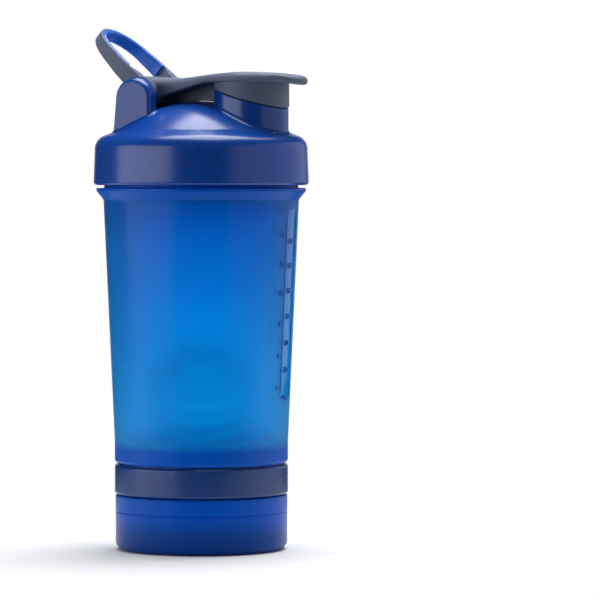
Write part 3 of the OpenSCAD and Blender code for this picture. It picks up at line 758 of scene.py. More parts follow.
class SHAKER_OT_tray(bpy.types.Operator):
    """Pill tray with two dividers and a finger well"""

    bl_idname = "shaker.tray"
    bl_label = "Pill tray"

    def execute(self, context):
        b = context.scene.shaker_base
        inner = b.tray_radius - b.tray_wall
        floor = b.tray_low + b.tray_wall
        bite = mm(0.5)
        root = floor - bite
        wall_top = b.tray_top - mm(1)
        rim_edge = mm(0.5)
        tray = spin_profile("tray_shell", rounded([
            (0, b.tray_low, 0), (b.tray_radius, b.tray_low, mm(1.6)), (b.tray_radius, b.tray_top, rim_edge),
            (inner, b.tray_top, rim_edge), (inner, floor, mm(1.2)), (0, floor, 0),
        ]))
        half = b.divider_thick / 2
        top_half = half * 0.8
        top_edge = mm(0.45)
        reach = math.sqrt(inner ** 2 - b.divider_y ** 2) + bite
        section = rounded([
            (-half, root, 0), (half, root, 0),
            (top_half, wall_top, top_edge), (-top_half, wall_top, top_edge),
        ], closed=True)
        for y in (-b.divider_y, b.divider_y):
            rings = [[(x, y + v, z) for v, z in section] for x in (-reach, reach)]
            combine(tray, loft("tray_divider", rings), "UNION")
        place = (b.well_x, b.divider_y, 0)
        bore = b.well_radius - b.tray_wall
        well_edge = mm(0.4)
        over = wall_top + mm(2)
        post = spin_profile("tray_well", rounded([
            (0, root, 0), (b.well_radius, root, 0), (b.well_radius, wall_top, well_edge), (0, wall_top, 0),
        ]), centre=place)
        combine(tray, post, "UNION")
        drill = spin_profile("tray_well_bore", rounded([
            (0, floor, 0), (bore, floor, mm(1)), (bore, wall_top - well_edge, well_edge),
            (bore + mm(0.6), over, 0), (0, over, 0),
        ]), centre=place)
        combine(tray, drill, "DIFFERENCE")
        settle(tray, "pill_tray", "pill_tray", natural_polypropylene())
        return {"FINISHED"}


class SHAKER_OT_seals(bpy.types.Operator):
    """Seal rings under the cup and under the lid"""

    bl_idname = "shaker.seals"
    bl_label = "Seal rings"

    def execute(self, context):
        silicone = pale_silicone()
        for node, inner, outer in (("base_seal", mm(31.6), mm(33.4)), ("lid_seal", mm(38.5), mm(41.5))):
            low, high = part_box(node)[0].z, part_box(node)[1].z
            edge = (high - low) / 3
            section = [(inner, low, edge), (outer, low, edge), (outer, high, edge), (inner, high, edge)]
            ring = spin_profile(node + "_ring", rounded(section, closed=True), closed=True)
            settle(ring, node, node, silicone)
        return {"FINISHED"}


class SHAKER_OT_ring(bpy.types.Operator):
    """Locking ring with rounded edges and a low step under the cup"""

    bl_idname = "shaker.ring"
    bl_label = "Locking ring"

    def execute(self, context):
        b = context.scene.shaker_base
        step = b.ring_radius - b.ring_edge
        step_edge = mm(0.15)
        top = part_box("locking_ring")[1].z
        ring = spin_profile("locking_ring_shell", rounded([
            (b.ring_bore, b.ring_low, mm(0.5)), (b.ring_radius, b.ring_low, b.ring_edge * 0.7),
            (b.ring_radius, b.ring_high, b.ring_edge), (step, b.ring_high, step_edge),
            (step, top, step_edge), (b.ring_bore, top, step_edge),
        ], closed=True, steps=7), closed=True)
        settle(ring, "cup", "locking_ring", ring_polypropylene())
        return {"FINISHED"}


def cup_side(c, z):
    """Outside radius of the cup's sloping side at a height."""
    return c.foot_radius + (z - c.band) * (c.body_radius - c.foot_radius) / (c.body_top - c.band)


class SHAKER_OT_cup(bpy.types.Operator):
    """Cup with its boss, flange, mouth thread and sunk sight panel"""

    bl_idname = "shaker.cup"
    bl_label = "Cup"

    def execute(self, context):
        c = context.scene.shaker_cup
        inner_foot = c.foot_radius - c.wall
        inner_body = c.body_radius - c.wall
        boss_edge = mm(0.3)
        rim_edge = mm(0.7)
        band_round = mm(20)
        cup = spin_profile("cup_shell", rounded([
            (0, c.floor_low, 0), (c.boss_bore, c.floor_low, mm(0.8)), (c.boss_bore, c.boss_low, boss_edge),
            (c.boss_radius, c.boss_low, boss_edge), (c.boss_radius, c.foot, boss_edge),
            (c.foot_radius, c.foot, mm(1.6)), (c.foot_radius, c.band, band_round),
            (cup_side(c, c.panel_low), c.panel_low, 0), (cup_side(c, c.panel_high), c.panel_high, 0),
            (c.body_radius, c.body_top, mm(2)), (c.flange_radius, c.flange_low, mm(0.6)),
            (c.flange_radius, c.flange_high, mm(0.4)), (c.mouth_radius, c.flange_high, mm(0.6)),
            (c.mouth_radius, c.rim, rim_edge), (c.mouth_bore, c.rim, rim_edge),
            (c.mouth_bore, c.flange_low, mm(3)), (inner_body, c.body_top, mm(6)),
            (inner_foot, c.band, band_round), (inner_foot, c.floor_high, c.floor_round), (0, c.floor_high, 0),
        ], steps=6))
        self.sink_panel(cup, c)
        ridges = threads("cup_thread", c.mouth_radius, low=mm(159), rise=c.thread_rise, height=THREAD_HEIGHT)
        join(cup, ridges)
        settle(cup, "cup", "cup", clear_blue_copolyester(c), angle=30)
        return {"FINISHED"}

    def sink_panel(self, cup, c):
        """Insets the faces of the sight panel, pushes them in and slopes the panel's top end."""
        slope_top = mm(2.4)

        def sunk(spot):
            return cup_side(c, spot.z) - math.hypot(spot.x, spot.y)

        def turned(spot):
            return abs(math.atan2(spot.y, spot.x)) < c.panel_angle / 2
        pick(cup)
        bpy.ops.object.mode_set(mode="EDIT")
        bpy.ops.mesh.select_mode(type="FACE")
        bpy.ops.mesh.select_all(action="DESELECT")
        mesh = bmesh.from_edit_mesh(cup.data)
        for face in mesh.faces:
            spot = face.calc_center_median()
            face.select = turned(spot) and sunk(spot) < c.wall / 2 and c.panel_low < spot.z < c.panel_high
        bmesh.update_edit_mesh(cup.data)
        bpy.ops.mesh.inset(thickness=mm(0.25), depth=0)
        bpy.ops.mesh.inset(thickness=mm(0.4), depth=-c.panel_depth)
        bpy.ops.mesh.select_mode(type="VERT")
        bpy.ops.mesh.select_all(action="DESELECT")
        mesh = bmesh.from_edit_mesh(cup.data)
        for vertex in mesh.verts:
            spot = vertex.co
            outer_side = c.panel_depth / 2 < sunk(spot) < c.wall / 2 + c.panel_depth / 2
            vertex.select = turned(spot) and outer_side and spot.z > c.panel_high - mm(1.5)
        mesh.select_flush_mode()
        bmesh.update_edit_mesh(cup.data)
        bpy.ops.transform.translate(value=(0, 0, -slope_top))
        bpy.ops.object.mode_set(mode="OBJECT")


def fill_height(c, millilitres):
    """Height of the liquid in the cup, found slice by slice."""
    z = c.floor_high
    step = mm(0.1)
    volume = 0
    while volume < millilitres * 1e-6:
        radius = max(cup_side(c, z), c.foot_radius) - c.wall
        volume += math.pi * radius ** 2 * step
        z += step
    return z


class SHAKER_OT_marks(bpy.types.Operator):
    """Middle line, ticks and plain numbers on the sight panel"""

    bl_idname = "shaker.marks"
    bl_label = "Measure marks"

    def execute(self, context):
        c = context.scene.shaker_cup
        line_length = c.panel_high - c.panel_low - mm(7)
        marks = self.bar(c, (c.panel_low + c.panel_high) / 2, 0, mm(0.5), line_length, sloped=True)
        ounces = [(n, n * ML_PER_OUNCE) for n in range(4, 15, 2)]
        millilitres = [(n, n) for n in range(100, 401, 50)]
        others = []
        for scale, tick_angle, figure_angle in ((ounces, -1.3, -5.2), (millilitres, 1.3, 6.4)):
            for figure, volume in scale:
                z = fill_height(c, volume)
                others.append(self.bar(c, z, tick_angle, mm(1.4), mm(0.35)))
                others.append(self.number(c, str(figure), z, figure_angle))
        join(marks, others)
        marks.name = marks.data.name = "measure_marks"
        settle(marks, "cup", None, raised_mark_blue())
        return {"FINISHED"}

    def on_panel(self, c, z, turn, proud=0):
        """Place on the sunk panel at a height and an angle."""
        radius = cup_side(c, z) - c.panel_depth + proud
        return radius * math.cos(turn), radius * math.sin(turn), z

    def bar(self, c, z, angle, width, height, sloped=False):
        """Low bevelled bar on the panel, width across and height up."""
        clear_selection()
        bpy.ops.mesh.primitive_cube_add(size=1)
        piece = edit_new("mark_bar")
        bpy.ops.transform.resize(value=(mm(0.36), width, height))
        bpy.ops.mesh.bevel(offset=mm(0.08), segments=2)
        bpy.ops.object.mode_set(mode="OBJECT")
        lean = (c.body_radius - c.foot_radius) / (c.body_top - c.band) if sloped else 0
        piece.rotation_euler = (0, math.atan(lean), math.radians(angle))
        piece.location = self.on_panel(c, z, math.radians(angle))
        bpy.ops.object.transform_apply(location=True, rotation=True, scale=True)
        return piece

    def number(self, c, text, z, angle):
        """Number that stands on the panel, as a thin mesh."""
        clear_selection()
        turn = math.radians(angle)
        bpy.ops.object.text_add(
            location=self.on_panel(c, z, turn, proud=mm(0.02)),
            rotation=(math.pi / 2, 0, math.pi / 2 + turn),
        )
        word = bpy.context.object.data
        word.body = text
        word.size = mm(3.3)
        word.extrude = mm(0.14)
        word.offset = mm(0.04)
        word.resolution_u = 6
        word.align_x = word.align_y = "CENTER"
        bpy.ops.object.convert(target="MESH")
        bpy.ops.object.transform_apply(location=True, rotation=True, scale=True)
        bpy.ops.object.mode_set(mode="EDIT")
        close_up()
        return bpy.context.object


class SHAKER_OT_whisk(bpy.types.Operator):
    """Whisk ball, wound from one wire"""

    bl_idname = "shaker.whisk"
    bl_label = "Whisk ball"

    def execute(self, context):
        c = context.scene.shaker_cup
        path_radius = c.ball_radius - c.wire_radius
        lean = Euler((c.ball_lean, c.ball_lean / 2, 0)).to_matrix()
        count = c.wire_loops * 60
        points = []
        for i in range(count + 1):
            share = i / count
            polar = c.ball_open + share * (math.pi - 2 * c.ball_open)
            turn = 2 * math.pi * c.wire_loops * share
            flat = math.sin(polar)
            out = Vector((flat * math.cos(turn), flat * math.sin(turn), math.cos(polar)))
            points.append(Vector((0, 0, c.ball_z)) + lean @ (path_radius * out))
        draw_line("whisk_wire", points)
        bpy.ops.object.mode_set(mode="OBJECT")
        bpy.ops.object.convert(target="CURVE")
        curve = bpy.context.object.data
        curve.bevel_depth = c.wire_radius
        curve.bevel_resolution = 3
        curve.use_fill_caps = True
        bpy.ops.object.convert(target="MESH")
        wire = bpy.context.object
        bpy.ops.object.mode_set(mode="EDIT")
        close_up()
        settle(wire, "whisk_ball", "whisk_ball", drawn_steel(), angle=60)
        return {"FINISHED"}


def dome_sphere(t):
    """Radius of the dome's sphere and the height of its middle."""
    rise = t.dome_top - t.dome_foot_z
    radius = (t.dome_foot ** 2 + rise ** 2) / (2 * rise)
    return radius, t.dome_top - radius


def collar_edge(t):
    """Radius and height where the sloping collar meets the rounded shoulder."""
    return (t.shoulder_middle + t.shoulder_round * math.sin(t.collar_slope),
            t.shoulder_z + t.shoulder_round * math.cos(t.collar_slope))


def lid_height(t, x, y):
    """Height of the lid's top over a point."""
    radius = math.hypot(x, y)
    sphere, middle = dome_sphere(t)
    collar, collar_z = collar_edge(t)
    if radius <= t.dome_foot:
        return middle + math.sqrt(sphere ** 2 - radius ** 2)
    if radius <= collar:
        share = (radius - t.dome_foot) / (collar - t.dome_foot)
        return t.dome_foot_z + share * (collar_z - t.dome_foot_z)
    return t.shoulder_z + math.sqrt(max(t.shoulder_round ** 2 - (radius - t.shoulder_middle) ** 2, 0))


def over_lid(t, plan, rise):
    """Ring of points over a plan, at a height above the lid's top."""
    return [(x, y, lid_height(t, x, y) + rise) for x, y in plan]


def circle_plan(x, radius, count=96):
    """Circle of points about x on the X axis."""
    turns = [2 * math.pi * i / count for i in range(count)]
    return [(x + radius * math.cos(a), radius * math.sin(a)) for a in turns]


def fillet_rings(t, outline):
    """Rings that sweep from the dome into an upright wall. outline gives the wall's plan, grown outwards."""
    fillet = t.foot_fillet
    sink = mm(0.12)
    root = mm(1)
    rings = [over_lid(t, outline(fillet), -root)]
    for a in quarter(steps=6):
        rings.append(over_lid(t, outline(fillet * (1 - math.sin(a))), fillet * (1 - math.cos(a)) - sink))
    return rings


def across(outline, places):
    """Rings of an upright outline at places along the hinge."""
    return [[(x, y, z) for x, z in outline] for y in places]


def hinge_round(t, name, profile, closed=False):
    """Round solid on the hinge axis, from radii and places along it."""
    return spin_profile(name, profile, (-t.hinge_back, 0, t.hinge_z), ALONG_HINGE, closed)


def hinge_rod(t, name, radius, half):
    """Plain rod on the hinge axis, from its radius and half its length."""
    return hinge_round(t, name, [(0, -half), (radius, -half), (radius, half), (0, half)])


def hinge_barrel(t, name, start, end):
    """Barrel that turns on the hinge pin."""
    bore = t.pin_radius + RUNNING_FIT
    edge = mm(0.6)
    bore_edge = mm(0.2)
    return hinge_round(t, name, rounded([
        (bore, start, bore_edge), (t.barrel_radius, start, edge),
        (t.barrel_radius, end, edge), (bore, end, bore_edge),
    ], closed=True), closed=True)


class SHAKER_OT_lid(bpy.types.Operator):
    """Screw lid with its dome, hinge ears and drinking spout"""

    bl_idname = "shaker.lid"
    bl_label = "Lid"

    def execute(self, context):
        t = context.scene.shaker_top
        lid = self.outside(t)
        for side in (-1, 1):
            combine(lid, self.ear(t, side), "UNION")
            combine(lid, self.ear_foot(t, side), "UNION")
        combine(lid, self.saddle(t), "UNION")
        combine(lid, self.spout(t), "UNION")
        combine(lid, self.hollow(t), "DIFFERENCE")
        combine(lid, self.drinking_hole(t), "DIFFERENCE")
        combine(lid, hinge_rod(t, "lid_sockets", t.pin_radius + TIGHT_FIT, t.ear_in + mm(3)), "DIFFERENCE")
        rise = context.scene.shaker_cup.thread_rise
        join(lid, threads("lid_thread", t.lid_bore, low=mm(162), rise=rise, height=-THREAD_HEIGHT))
        settle(lid, "lid", "lid", navy_polypropylene(), angle=32)
        return {"FINISHED"}

    def outside(self, t):
        """Solid of the lid's outside, from the dome down over collar and shoulder to the skirt."""
        sphere, middle = dome_sphere(t)
        foot_angle = math.degrees(math.asin((t.dome_foot_z - middle) / sphere))
        collar_angle = 90 - math.degrees(t.collar_slope)
        dome = arc(0, middle, sphere, 90, foot_angle, steps=22)
        dome[0] = (0, t.dome_top)
        shoulder = arc(t.shoulder_middle, t.shoulder_z, t.shoulder_round, collar_angle, 0, steps=12)
        return spin_profile("lid_shell", rounded(
            plain(dome[:-1]) + [(t.dome_foot, t.dome_foot_z, mm(3))] + plain(shoulder)
            + [(t.lid_radius, t.lid_low, mm(1.4)), (0, t.lid_low, 0)]
        ))

    def hollow(self, t):
        """Solid of the lid's inside, with the lip that holds the seal left standing."""
        sphere, middle = dome_sphere(t)
        sphere -= t.dome_thick
        side = math.degrees(math.acos(t.lip_inner / sphere))
        roof = arc(0, middle, sphere, side, 90, steps=16)
        roof[-1] = (0, middle + sphere)
        under = t.lid_low - mm(1)
        flared = t.lid_bore + mm(0.4)
        lip_edge = mm(0.5)
        return spin_profile("lid_hollow", rounded([
            (0, under, 0), (flared, under, 0), (flared, t.lid_low, 0),
            (t.lid_bore, t.lid_low + mm(0.5), 0), (t.lid_bore, t.ceiling, mm(0.8)),
            (t.lip_outer, t.ceiling, mm(0.3)), (t.lip_outer, t.lip_low, lip_edge),
            (t.lip_inner, t.lip_low, lip_edge),
        ] + plain(roof)))

    def ear(self, t, side):
        """Upright ear with a round top, a crowned face and rounded edges."""
        edge = t.ear_edge
        inner_edge = mm(1)
        crown = mm(0.35)

        def outline(inset):
            half = t.ear_width / 2 - inset
            root = t.ceiling + mm(0.6)
            top = arc(-t.hinge_back, t.hinge_z - t.ear_drop, half, 0, 180, steps=28)
            return [(-t.hinge_back + half, root)] + top + [(-t.hinge_back - half - t.ear_flare, root)]

        def sunk(inset):
            rest = max(1 - inset / edge, 0)
            return crown * (1 - 2 * inset / t.ear_width) ** 2 + t.ear_round * (1 - math.sqrt(1 - rest ** 2))
        rings = [
            (inner_edge * (1 - math.sin(a)), t.ear_in + inner_edge * (1 - math.cos(a))) for a in quarter(6)
        ]
        rim = [edge * share for share in (0, 0.02, 0.08, 0.18, 0.32, 0.5, 0.72, 1)]
        deepest = 0.47 * t.ear_width
        steps = 8
        face = [edge + (deepest - edge) * step / steps for step in range(1, steps + 1)]
        rings += [(inset, t.ear_out - sunk(inset)) for inset in rim + face]
        return loft("lid_ear", [[(x, side * y, z) for x, z in outline(inset)] for inset, y in rings])

    def ear_foot(self, t, side):
        """Fillet round the foot of an ear."""
        front = -t.hinge_back + t.ear_width / 2
        back = -t.hinge_back - t.ear_width / 2 - 0.65 * t.ear_flare
        face = t.ear_out - mm(0.3)

        def outline(grow):
            inner = mm(1) + max(grow, 0)
            outer = mm(2.6) + max(grow, 0)
            points = rounded([
                (back - grow, t.ear_in - grow, inner), (front + grow, t.ear_in - grow, inner),
                (front + grow, face + grow, outer), (back - grow, face + grow, outer),
            ], closed=True)
            dense = []
            for a, b in zip(points, points[1:] + points[:1]):
                dense += between(a, b, steps=8)
            return [(x, side * y) for x, y in dense]
        inside_ear = over_lid(t, outline(mm(-0.08)), t.foot_fillet + mm(0.4))
        return loft("lid_ear_foot", fillet_rings(t, outline) + [inside_ear])

    def saddle(self, t):
        """Low saddle under the cap's barrel, hollowed to clear it."""
        clear = t.barrel_radius + mm(0.35)
        hollow = arc(-t.hinge_back, t.hinge_z, clear, 236, 293, steps=12)
        root = t.dome_foot_z + mm(1)
        outline = [(hollow[0][0] - mm(1), root)] + hollow + [(hollow[-1][0] + mm(0.3), root)]
        half = t.cap_half - mm(0.4)
        return loft("lid_saddle", across(outline, (-half, half)))

    def spout(self, t):
        """Spout that rises from the dome, stepped on a slope under the cap's skirt."""
        step_edge = ((0, 0.5), (0.07, 0.24), (0.24, 0.07), (0.5, 0))
        rim_edge = ((0, 0.7), (0.1, 0.35), (0.35, 0.1), (0.7, 0))

        def step_z(x):
            return t.skirt_z - mm(0.3) - math.tan(t.skirt_slope) * (x - t.spout_x)

        def outline(grow):
            return circle_plan(t.spout_x, t.spout_radius + grow)
        rings = fillet_rings(t, outline)
        for inset, drop in step_edge:
            rings.append([(x, y, step_z(x) - mm(drop)) for x, y in outline(-mm(inset))])
        rings.append([(x, y, step_z(x)) for x, y in circle_plan(t.spout_x, t.spout_neck)])
        for inset, drop in rim_edge:
            neck = circle_plan(t.spout_x, t.spout_neck - mm(inset))
            rings.append([(x, y, t.spout_rim - mm(drop)) for x, y in neck])
        return loft("lid_spout", rings)

    def drinking_hole(self, t):
        """Solid of the drinking hole, rounded out at the rim."""
        rim = t.spout_rim
        bore = t.spout_bore
        over = rim + mm(1)
        wide = bore + mm(0.7)
        return spin_profile("lid_drinking_hole", [
            (0, t.ceiling), (bore, t.ceiling), (bore, rim - mm(0.7)), (bore + mm(0.1), rim - mm(0.35)),
            (bore + mm(0.35), rim - mm(0.1)), (wide, rim + mm(0.02)), (wide, over), (0, over),
        ], centre=(t.spout_x, 0, 0))


class SHAKER_OT_hinge_pin(bpy.types.Operator):
    """Hinge pin with rounded ends"""

    bl_idname = "shaker.hinge_pin"
    bl_label = "Hinge pin"

    def execute(self, context):
        t = context.scene.shaker_top
        radius, half, edge = t.pin_radius, t.pin_half, mm(0.5)
        profile = rounded([(0, -half, 0), (radius, -half, edge), (radius, half, edge), (0, half, 0)])
        pin = hinge_round(t, "hinge_pin_rod", profile)
        settle(pin, "lid", "hinge_pin", dark_acetal())
        return {"FINISHED"}


class SHAKER_OT_flip_cap(bpy.types.Operator):
    """Flip cap with its barrel, crowned lever, thumb lip, skirt and rib"""

    bl_idname = "shaker.flip_cap"
    bl_label = "Flip cap"

    def execute(self, context):
        t = context.scene.shaker_top
        cap = loft("flip_cap_body", self.lever_rings(t), capped=False)
        notch = t.pin_radius + RUNNING_FIT + mm(1)
        combine(cap, hinge_rod(t, "cap_notch", notch, t.cap_half + mm(2)), "DIFFERENCE")
        combine(cap, hinge_barrel(t, "cap_barrel", -t.cap_half, t.cap_half), "UNION")
        combine(cap, self.skirt(t), "UNION")
        combine(cap, self.rib(t), "UNION")
        settle(cap, "flip_cap", "flip_cap", slate_polypropylene(), angle=38)
        return {"FINISHED"}

    def half_plan(self, t):
        """Half of the lever's plan, from the barrel past the skirt to the tip of the thumb lip."""
        hinge = -t.hinge_back
        neck = (hinge + t.barrel_radius + mm(6), t.cap_half)
        flare = touch(neck, t.spout_x, t.lever_radius)
        lip_middle = t.lip_x - t.lip_radius
        swing = math.degrees(math.acos((t.lever_radius - t.lip_radius) / (lip_middle - t.spout_x)))
        start = (t.spout_x + t.lever_radius * math.cos(flare), t.lever_radius * math.sin(flare))
        pull = mm(9)
        handle = (start[0] - pull * math.sin(flare), start[1] + pull * math.cos(flare))
        straight = between((hinge, t.cap_half), neck, steps=6)
        side = bezier(neck, (neck[0] + mm(8), neck[1]), handle, start, steps=14)
        round_side = arc(t.spout_x, 0, t.lever_radius, math.degrees(flare), swing, steps=12)
        lip = arc(lip_middle, 0, t.lip_radius, swing, 0, steps=22)
        return straight + side[:-1] + round_side[:-1] + lip[:-1] + [(t.lip_x, 0)]

    def lever_lines(self, t):
        """Side lines of the lever's top and underside, from the barrel to the thumb lip."""
        hinge = -t.hinge_back
        barrel_z = t.hinge_z + t.barrel_radius
        top_z = t.lever_z + t.lever_thick
        nose = t.lip_x - mm(1.9)
        top = bezier((hinge, barrel_z), (hinge + mm(19), barrel_z - mm(4)),
                     (t.spout_x - mm(7), top_z + mm(3.8)), (nose, t.lever_z + mm(2.6)))
        angle = math.radians(28)
        throat = (hinge + t.barrel_radius * math.cos(angle), t.hinge_z - t.barrel_radius * math.sin(angle))
        under = bezier((t.spout_x - mm(15), t.lever_z), (t.spout_x - mm(23), t.lever_z - mm(1.8)),
                       (hinge + mm(11.7), t.hinge_z - mm(1)), throat)
        return top, under + [(nose - mm(5), t.lever_z), (nose, t.lever_z - mm(1.2))]

    def lever_rings(self, t):
        """Rings from the middle of the lever's underside, round its edge, to the crown of its top."""
        top, under = self.lever_lines(t)
        half = self.half_plan(t)
        plan = half + [(x, -y) for x, y in reversed(half[:-1])]
        spine_start = -t.hinge_back + mm(2)
        spine_end = t.lip_x - t.lip_radius
        crown = mm(0.3)
        least_side = mm(0.2)
        lip_begins, lip_run = mm(9), mm(12)

        def towards_lip(x, before, after):
            share = min(max((x - t.spout_x - lip_begins) / lip_run, 0), 1)
            return before + (after - before) * share * share * (3 - 2 * share)

        def low_edge(x):
            return towards_lip(x, mm(0.8), mm(1.7))

        def high_edge(x):
            thick = height_at(top, x) - height_at(under, x)
            return min(towards_lip(x, mm(3.6), mm(1.9)), thick - low_edge(x) - crown - least_side)

        def ring(share, edge, inset, level):
            points = []
            for x, y in plan:
                near = share * (1 - inset * edge(x) / t.lip_radius)
                spine = min(max(x, spine_start), spine_end)
                px = spine + (x - spine) * near
                points.append((px, y * near, level(px, near, edge(x))))
            return points

        def bottom(lift):
            return lambda x, share, rounding: height_at(under, x) + lift * rounding

        def crowned(drop):
            return lambda x, share, rounding: height_at(top, x) - crown * share ** 2 - drop * rounding
        rings = [ring(share, low_edge, 1, bottom(0)) for share in (0, 0.5, 0.88)]
        rings += [ring(1, low_edge, 1 - math.sin(a), bottom(1 - math.cos(a))) for a in quarter(6)]
        rings += [ring(1, high_edge, 1 - math.cos(a), crowned(1 - math.sin(a))) for a in quarter(9)]
        inwards = (0.93, 0.82, 0.68, 0.52, 0.36, 0.2, 0.08, 0)
        return rings + [ring(share, high_edge, 1, crowned(0)) for share in inwards]

    def skirt(self, t):
        """Skirt round the spout, with a rounded, slanting lower edge."""
        thick = t.skirt_radius - t.skirt_bore
        inside_lever = t.lever_z + mm(0.8)

        def foot(x):
            return t.skirt_z - math.tan(t.skirt_slope) * (x - t.spout_x)
        section = (
            (0, None), (1, None), (1, 0.45), (0.85, 0.13), (0.5, 0), (0.15, 0.13), (0, 0.45), (0, None),
        )
        rings = []
        for share, lift in section:
            circle = circle_plan(t.spout_x, t.skirt_radius - thick * share)
            rings.append([(x, y, inside_lever if lift is None else foot(x) + mm(lift)) for x, y in circle])
        return loft("cap_skirt", rings, capped=False)

    def rib(self, t):
        """Stiffening rib under the lever, cut to follow the dome."""
        sphere, middle = dome_sphere(t)
        gap = mm(0.12)
        half = mm(1.2)
        back = -t.hinge_back + mm(2.7)
        front = t.spout_x - t.spout_radius - mm(0.8)
        steps = 14
        places = [back + (front - back) * i / steps for i in range(steps + 1)]
        low = [(x, middle + math.sqrt((sphere + gap) ** 2 - x ** 2)) for x in places]
        chamfer = (front, low[-1][1] + mm(1.3))
        outline = [(-t.hinge_back + mm(4.5), t.hinge_z)] + low[:-1] + [chamfer, (front, t.lever_z + mm(1))]
        return loft("cap_rib", across(outline, (-half, half)))


class SHAKER_OT_spout_plug(bpy.types.Operator):
    """Soft plug with its flange and a hollow underside"""

    bl_idname = "shaker.spout_plug"
    bl_label = "Spout plug"

    def execute(self, context):
        t = context.scene.shaker_top
        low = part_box("spout_plug")[0].z
        hollow = low + mm(0.9)
        flange = t.lever_z - mm(1.25)
        flange_radius = mm(14.35)
        plug = spin_profile("spout_plug_body", rounded([
            (0, hollow, 0), (mm(9), hollow, mm(0.6)), (mm(9.6), low, mm(0.3)), (mm(11.4), low, mm(0.6)),
            (mm(12.1), flange, mm(0.3)), (flange_radius, flange, mm(0.4)),
            (flange_radius, t.lever_z, mm(0.3)), (0, t.lever_z, 0),
        ]), centre=(t.spout_x, 0, 0))
        settle(plug, "flip_cap", "spout_plug", grey_elastomer())
        return {"FINISHED"}


def strap_line(t, width, radius, root=None):
    """One line of the U-shaped strap, from barrel to barrel.

    width is its distance from the middle along the legs, and root that at the feet, where it differs.
    """
    middle = t.loop_reach - t.loop_tip
    barrel = t.barrel_radius
    lean = barrel + mm(7.5)
    angle = touch((lean, width), middle, radius)
    meet = (middle + radius * math.cos(angle), radius * math.sin(angle))
    foot = root or width
    leg = [(barrel * 0.5, foot), (barrel * 0.75, foot), (barrel, foot), (barrel + mm(4), width),
           (barrel + mm(5.8), width)]
    slope = between((lean, width), meet, steps=7)
    tip = arc(middle, 0, radius, math.degrees(angle), 0, steps=16)
    line = soften(leg + slope + tip)
    line[-1] = (middle + radius, 0)
    return line + [(u, -v) for u, v in reversed(line[:-1])]


def strap_rings(t, pairs, trim, edge, root_extra=0):
    """Rounded sections of a strap between pairs of points, set on the hinge at the loop's angle.

    root_extra makes the strap deeper on its low side, where it leaves the barrels.
    """
    along = Vector((math.cos(t.loop_angle), 0, math.sin(t.loop_angle)))
    up = Vector((-math.sin(t.loop_angle), 0, math.cos(t.loop_angle)))
    middle_line = Vector((-t.hinge_back, 0, t.hinge_z)) - up * t.strap_rise
    rings = []
    for outer, inner in pairs:
        a, b = Vector(outer), Vector(inner)
        middle = (a + b) / 2
        half = (a - b).length / 2
        side = (a - b).normalized()
        share = middle.x / t.loop_reach
        deep = (t.strap_depth + (t.tip_depth - t.strap_depth) * share) / 2 - trim
        low = deep + root_extra * (1 - share)
        corners = [(-half, -deep, edge), (half, -deep, edge), (half, low, edge), (-half, low, edge)]
        ring = []
        for out, w in rounded(corners, closed=True):
            spot = middle + side * out
            ring.append(middle_line + along * spot.x + Vector((0, spot.y, 0)) + up * w)
        rings.append(ring)
    return rings


class SHAKER_OT_carry_loop(bpy.types.Operator):
    """Carry loop with a barrel at each end"""

    bl_idname = "shaker.carry_loop"
    bl_label = "Carry loop"

    def execute(self, context):
        t = context.scene.shaker_top
        outer = strap_line(t, t.loop_out, t.loop_tip)
        inner = strap_line(t, t.loop_out - t.strap_thick, t.loop_tip - t.strap_thick, t.loop_in)
        rings = strap_rings(t, zip(outer, inner), trim=0, edge=mm(0.65), root_extra=mm(1.8))
        loop = loft("carry_loop_strap", rings)
        for ends in ((-t.loop_out, -t.loop_in), (t.loop_in, t.loop_out)):
            combine(loop, hinge_barrel(t, "loop_barrel", *ends), "UNION")
        settle(loop, "carry_loop", "carry_loop", slate_polypropylene(), angle=38)
        return {"FINISHED"}


class SHAKER_OT_loop_liner(bpy.types.Operator):
    """Soft liner round the inside of the carry loop"""

    bl_idname = "shaker.loop_liner"
    bl_label = "Loop liner"

    def execute(self, context):
        t = context.scene.shaker_top
        sunk = mm(0.5)
        proud = mm(0.2)
        back = t.strap_thick - sunk
        face = t.strap_thick + t.liner_thick
        outer = strap_line(t, t.loop_out - back, t.loop_tip - back)
        inner = strap_line(t, t.loop_out - face, t.loop_tip - face)
        pairs = [pair for pair in zip(outer, inner) if pair[1][0] >= t.liner_start]
        liner = loft("loop_liner_strip", strap_rings(t, pairs, trim=-proud, edge=mm(1)))
        settle(liner, "carry_loop", "loop_liner", blue_elastomer(), angle=45)
        return {"FINISHED"}


